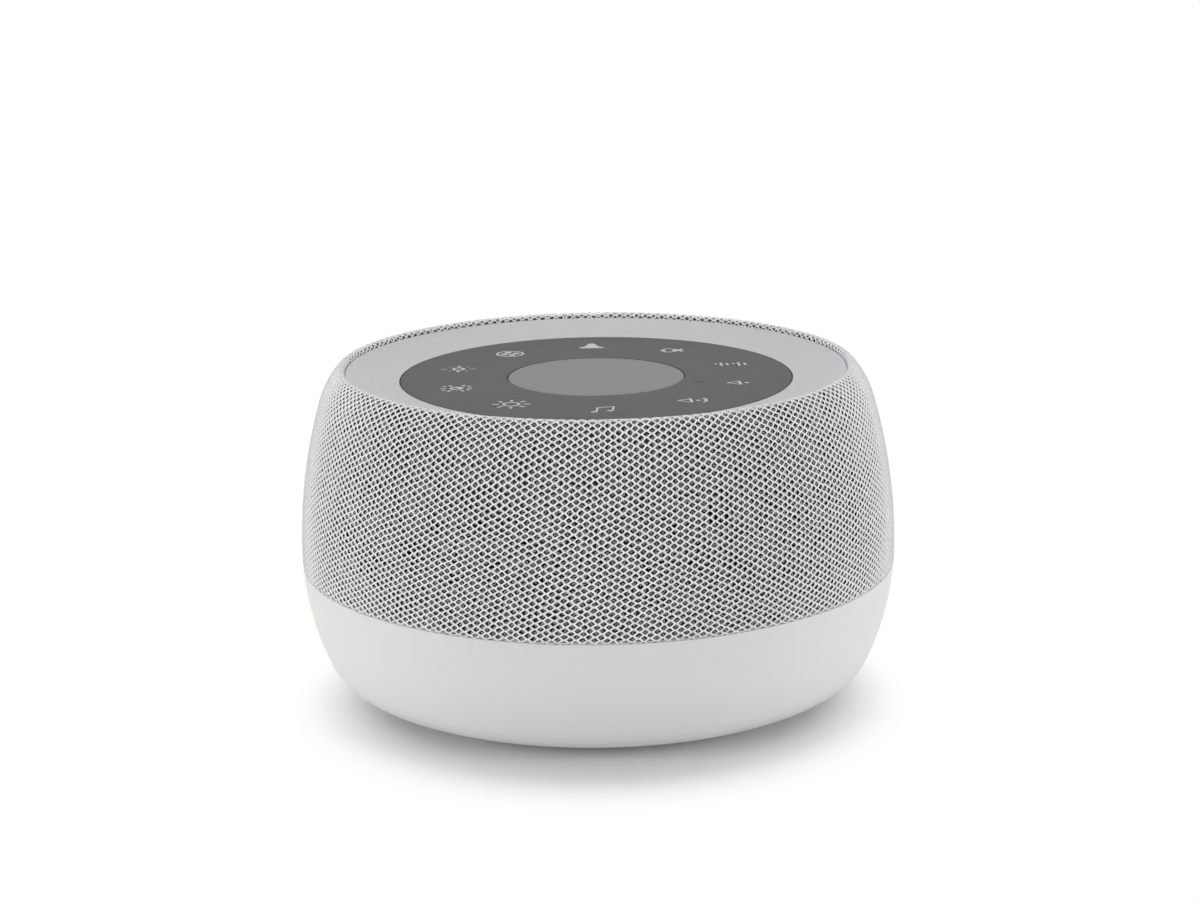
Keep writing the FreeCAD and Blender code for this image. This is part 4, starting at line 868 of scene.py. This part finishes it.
# %% Rows
LOW_ROW = 0.555 * MM
TOP_ROW = 0.63 * MM
SIDE_LENGTH = 36.0 * MM

row_places = [0.0]
while row_places[-1] < cloth_length:
    share = min(1.0, row_places[-1] / SIDE_LENGTH)
    row_places.append(row_places[-1] + LOW_ROW + (TOP_ROW - LOW_ROW) * share)
row_places = np.array(row_places)
row_count = len(row_places) - 1
print("rows", row_count, "meshes", row_count * MESHES_ROUND)

# %% [markdown]
# The flat cloth is the stitch repeated with two Array modifiers: one along the row, and one that
# goes up a row and half a mesh to the side.

# %% The flat cloth
def flat_cloth(pattern, name):
    """The pattern repeated over the whole cloth, as a list of points and a list of faces."""
    clear_selection()
    cloth = pattern.copy()
    cloth.data = pattern.data.copy()
    cloth.name = name
    bpy.context.scene.collection.objects.link(cloth)
    bpy.context.view_layer.objects.active = cloth
    along = (MESHES_ROUND, (FLAT_PITCH, 0, 0))
    upward = (row_count, (FLAT_PITCH / 2, FLAT_ROW, 0))
    for count, shift in (along, upward):
        repeat = cloth.modifiers.new("repeat", "ARRAY")
        repeat.count = count
        repeat.use_relative_offset = False
        repeat.use_constant_offset = True
        repeat.constant_offset_displace = shift
        bpy.ops.object.modifier_apply(modifier=repeat.name)
    return cloth


def points_of(piece):
    """All points of a piece, one row each."""
    places = np.empty(len(piece.data.vertices) * 3)
    piece.data.vertices.foreach_get("co", places)
    return places.reshape(-1, 3)


net = flat_cloth(stitch, "net")
loops = flat_cloth(back_loop, "loops")
print("flat cloth, points", len(net.data.vertices), "and", len(loops.data.vertices))

# %% [markdown]
# ## Laying the cloth round the frame
# A point's distance along the flat row becomes an angle round the body, its height becomes a
# length along the cover's line, and its thickness stays square to the surface. Pulling a knit
# over a round body never leaves it perfectly even: the columns lean, more so near the hem, the
# rows rise and fall a little on their way round, so the bowl's edge cuts them at different
# heights, and each mesh is drawn out differently, which a smooth noise does here. The noise has
# a fixed seed, because it would start anew in each session without one. Points close to the
# hem's sharp fold are pulled onto it, so the fold stays crisp.

# %% Lay it round
LOW_LEAN = 0.19
TOP_LEAN = 0.02
ROW_WAVES = ((2, 0.28 * MM, 0.6), (5, 0.16 * MM, 2.1), (9, 0.08 * MM, 4.0))
UNEVEN = 0.16 * MM
UNEVEN_SIZE = 1.9 * MM
UNEVEN_BROAD = 0.25 * MM
UNEVEN_BROAD_SIZE = 9.0 * MM
UNEVEN_SEED = 11


def laid_round(columns, rows_up, thickness):
    """Places round the body for flat places given in meshes along and rows up."""
    lengths = np.interp(rows_up, np.arange(len(row_places)), row_places)
    leaning = LOW_LEAN * lengths + (TOP_LEAN - LOW_LEAN) * lengths ** 2 / (2 * cloth_length)
    turns = columns / MESHES_ROUND * 2 * math.pi + leaning / widest
    rise = sum(size * np.sin(waves * turns + first) for waves, size, first in ROW_WAVES)
    lengths = lengths + SPARE + rise
    lengths = np.where(np.abs(lengths - fold_length) < HEM_SNAP, fold_length, lengths)
    r = np.interp(lengths, cover_length, cover_line[:, 0])
    z = np.interp(lengths, cover_length, cover_line[:, 1])
    out_r = np.interp(lengths, cover_length, cover_line[:, 2])
    out_z = np.interp(lengths, cover_length, cover_line[:, 3])
    r = r + out_r * thickness
    z = z + out_z * thickness
    return np.stack([r * np.sin(turns), -r * np.cos(turns), z], 1)


def uneven_shift(columns, rows_up):
    """How far a knit's unevenness moves each point along and up, in meshes and rows."""
    shifts = np.empty((len(columns), 2))
    turns = columns / MESHES_ROUND * 2 * math.pi
    around = np.stack([widest * np.cos(turns), widest * np.sin(turns), rows_up * FLAT_ROW], 1)
    for number, place in enumerate(around):
        fine = noise.noise_vector(Vector(place / UNEVEN_SIZE))
        broad = noise.noise_vector(Vector(place / UNEVEN_BROAD_SIZE))
        shifts[number] = (UNEVEN * fine.x + UNEVEN_BROAD * broad.x,
                          UNEVEN * fine.y + UNEVEN_BROAD * broad.y)
    return shifts[:, 0] / FLAT_PITCH, shifts[:, 1] / FLAT_ROW


noise.seed_set(UNEVEN_SEED)
places = points_of(net)
columns, rows_up = places[:, 0] / FLAT_PITCH, places[:, 1] / FLAT_ROW
along, up = uneven_shift(columns, rows_up)
net_places = laid_round(columns + along, rows_up + up, places[:, 2])
heights = net_places[:, 2] / MM
print("net laid round, mm up from", round(heights.min(), 2), "to", round(heights.max(), 2))

# %% [markdown]
# The back layer's loops lie less evenly than the front net. Each is turned and moved a little
# by chance, always the same chance, and one in four lies the other way round.

# %% Turn every back loop its own way
LOOP_SEED = 7
LOOP_TURN = 50.0
LOOP_SHIFT = 0.10 * MM
TURNED_BACK = 0.25

chance = np.random.RandomState(LOOP_SEED)
loop_places = points_of(loops)
loop_size = len(back_loop.data.vertices)
loop_count = len(loop_places) // loop_size
numbers = np.arange(loop_count)
middles = np.stack([
    (numbers % MESHES_ROUND) * FLAT_PITCH + (numbers // MESHES_ROUND) * FLAT_PITCH / 2,
    (numbers // MESHES_ROUND) * FLAT_ROW,
], 1)
turns = chance.normal(0, LOOP_TURN, loop_count) + 180 * (chance.rand(loop_count) < TURNED_BACK)
turns = np.radians(turns)
shift = chance.normal(0, LOOP_SHIFT, (loop_count, 2))
grouped = loop_places.reshape(loop_count, loop_size, 3)
local = grouped[:, :, :2] - middles[:, None, :]
cosine, sine = np.cos(turns)[:, None], np.sin(turns)[:, None]
turned = np.stack([
    local[:, :, 0] * cosine - local[:, :, 1] * sine,
    local[:, :, 0] * sine + local[:, :, 1] * cosine,
], 2)
flat = turned + (middles + shift)[:, None, :]
columns, rows_up = (flat[:, :, 0] / FLAT_PITCH).ravel(), (flat[:, :, 1] / FLAT_ROW).ravel()
loop_laid = laid_round(columns, rows_up, grouped[:, :, 2].ravel())
print("back loops laid round", loop_count)

# %% [markdown]
# ## Panels of the cover
# The cloth has several hundred thousand small faces, more than one piece may hold, so it is
# stored as six upright panels that meet edge to edge. Each panel is one sheet of cloth with its
# yarn net and its back loops.

# %% Cut it into panels
PANELS = 6
SAME_PLACE = 0.002 * MM


def faces_of(piece):
    """Each face's corner numbers. All faces of this piece have four corners."""
    corners = np.empty(len(piece.data.loops), dtype=np.int64)
    piece.data.loops.foreach_get("vertex_index", corners)
    return corners.reshape(-1, 4)


def panel_numbers(places):
    """Which panel each point belongs to, by the column that its repeat of the pattern is in."""
    repeats = np.arange(MESHES_ROUND * row_count)
    size = len(places) // len(repeats)
    row, column = repeats // MESHES_ROUND, repeats % MESHES_ROUND
    column = (column + row // 2) % MESHES_ROUND
    return np.repeat(column * PANELS // MESHES_ROUND, size)


def part_of(piece, places, number):
    """The points and faces of one panel."""
    mine = panel_numbers(places) == number
    new_number = np.cumsum(mine) - 1
    faces = faces_of(piece)
    kept = faces[mine[faces[:, 0]]]
    return places[mine], new_number[kept]


yarn = bpy.data.materials.new("yarn")
painted_shade_back_yarn = bpy.data.materials.new("painted_shade_back_yarn")
panels = []
for number in range(PANELS):
    net_points, net_faces = part_of(net, net_places, number)
    loop_points, loop_faces = part_of(loops, loop_laid, number)
    mesh = bpy.data.meshes.new(f"knit_cover_{number + 1}")
    points = np.concatenate([net_points, loop_points])
    faces = np.concatenate([net_faces, loop_faces + len(net_points)])
    mesh.from_pydata(points.tolist(), [], faces.tolist())
    mesh.materials.append(yarn)
    mesh.materials.append(painted_shade_back_yarn)
    is_loop = np.arange(len(faces)) >= len(net_faces)
    mesh.polygons.foreach_set("material_index", is_loop.astype(np.int32))
    panel = bpy.data.objects.new(mesh.name, mesh)
    bpy.context.scene.collection.objects.link(panel)
    edit(panel)
    bpy.ops.mesh.remove_doubles(threshold=SAME_PLACE)
    bpy.ops.mesh.faces_shade_smooth()
    leave_edit()
    panels.append(panel)
print("panel faces", [len(panel.data.polygons) for panel in panels])
for helper in (stitch, back_loop, net, loops):
    bpy.data.objects.remove(helper)

# %% [markdown]
# ## Yarn
# The front yarn is almost white and quite matt, with fine fibres that are felt along it. The
# back layer's yarn is the same white yarn, painted greyer as shade for its place deep in the
# meshes. Each stretch of both is a shade lighter or darker than the next.
# Seen at a slant the fibres shade each other; that shade is painted, darker towards the outline.

# %% Yarn
SLANT_PAINTED_SHADE = 0.66
YARN_ROUGHNESS = 0.85
YARN_SHINE = 0.2
STRETCH = 1.1 * MM
FIBRE = 0.06 * MM
FIBRE_DEPTH = 0.02 * MM


def spun(material, dark, light):
    """Makes a material into yarn: tone varied by stretches, felt fibres, painted shade at a slant.
    """
    material.use_nodes = True
    tree = material.node_tree
    shader = tree.nodes["Principled BSDF"]
    slant = tree.nodes.new("ShaderNodeLayerWeight").outputs["Facing"]
    tones = two_tones(tree, noise_of(tree, STRETCH), dark, light)
    # painted shade: the yarn's colour darkens where it is seen at a slant
    tree.links.new(darkened(tree, tones, slant, SLANT_PAINTED_SHADE), shader.inputs["Base Color"])
    shader.inputs["Roughness"].default_value = YARN_ROUGHNESS
    shader.inputs["Specular IOR Level"].default_value = YARN_SHINE
    felt_as_bumps(tree, shader, noise_of(tree, FIBRE, detail=3.0), FIBRE_DEPTH)


spun(yarn, colour_of(246, 246, 245), colour_of(255, 255, 254))
# the back loops' grey is painted shade for their place deep in the meshes; its spread is tone by
# stretches
spun(painted_shade_back_yarn, colour_of(176, 176, 177), colour_of(244, 244, 244))

# %% [markdown]
# The cloth was cut from a flat piece as long as the way round and as wide as its line is long.
# It is held stretched over the frame, and the six panels take the place of the plain solid.

# %% The cover rides on the body
for panel in panels:
    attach(panel, "housing")
    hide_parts("fabric_sleeve")
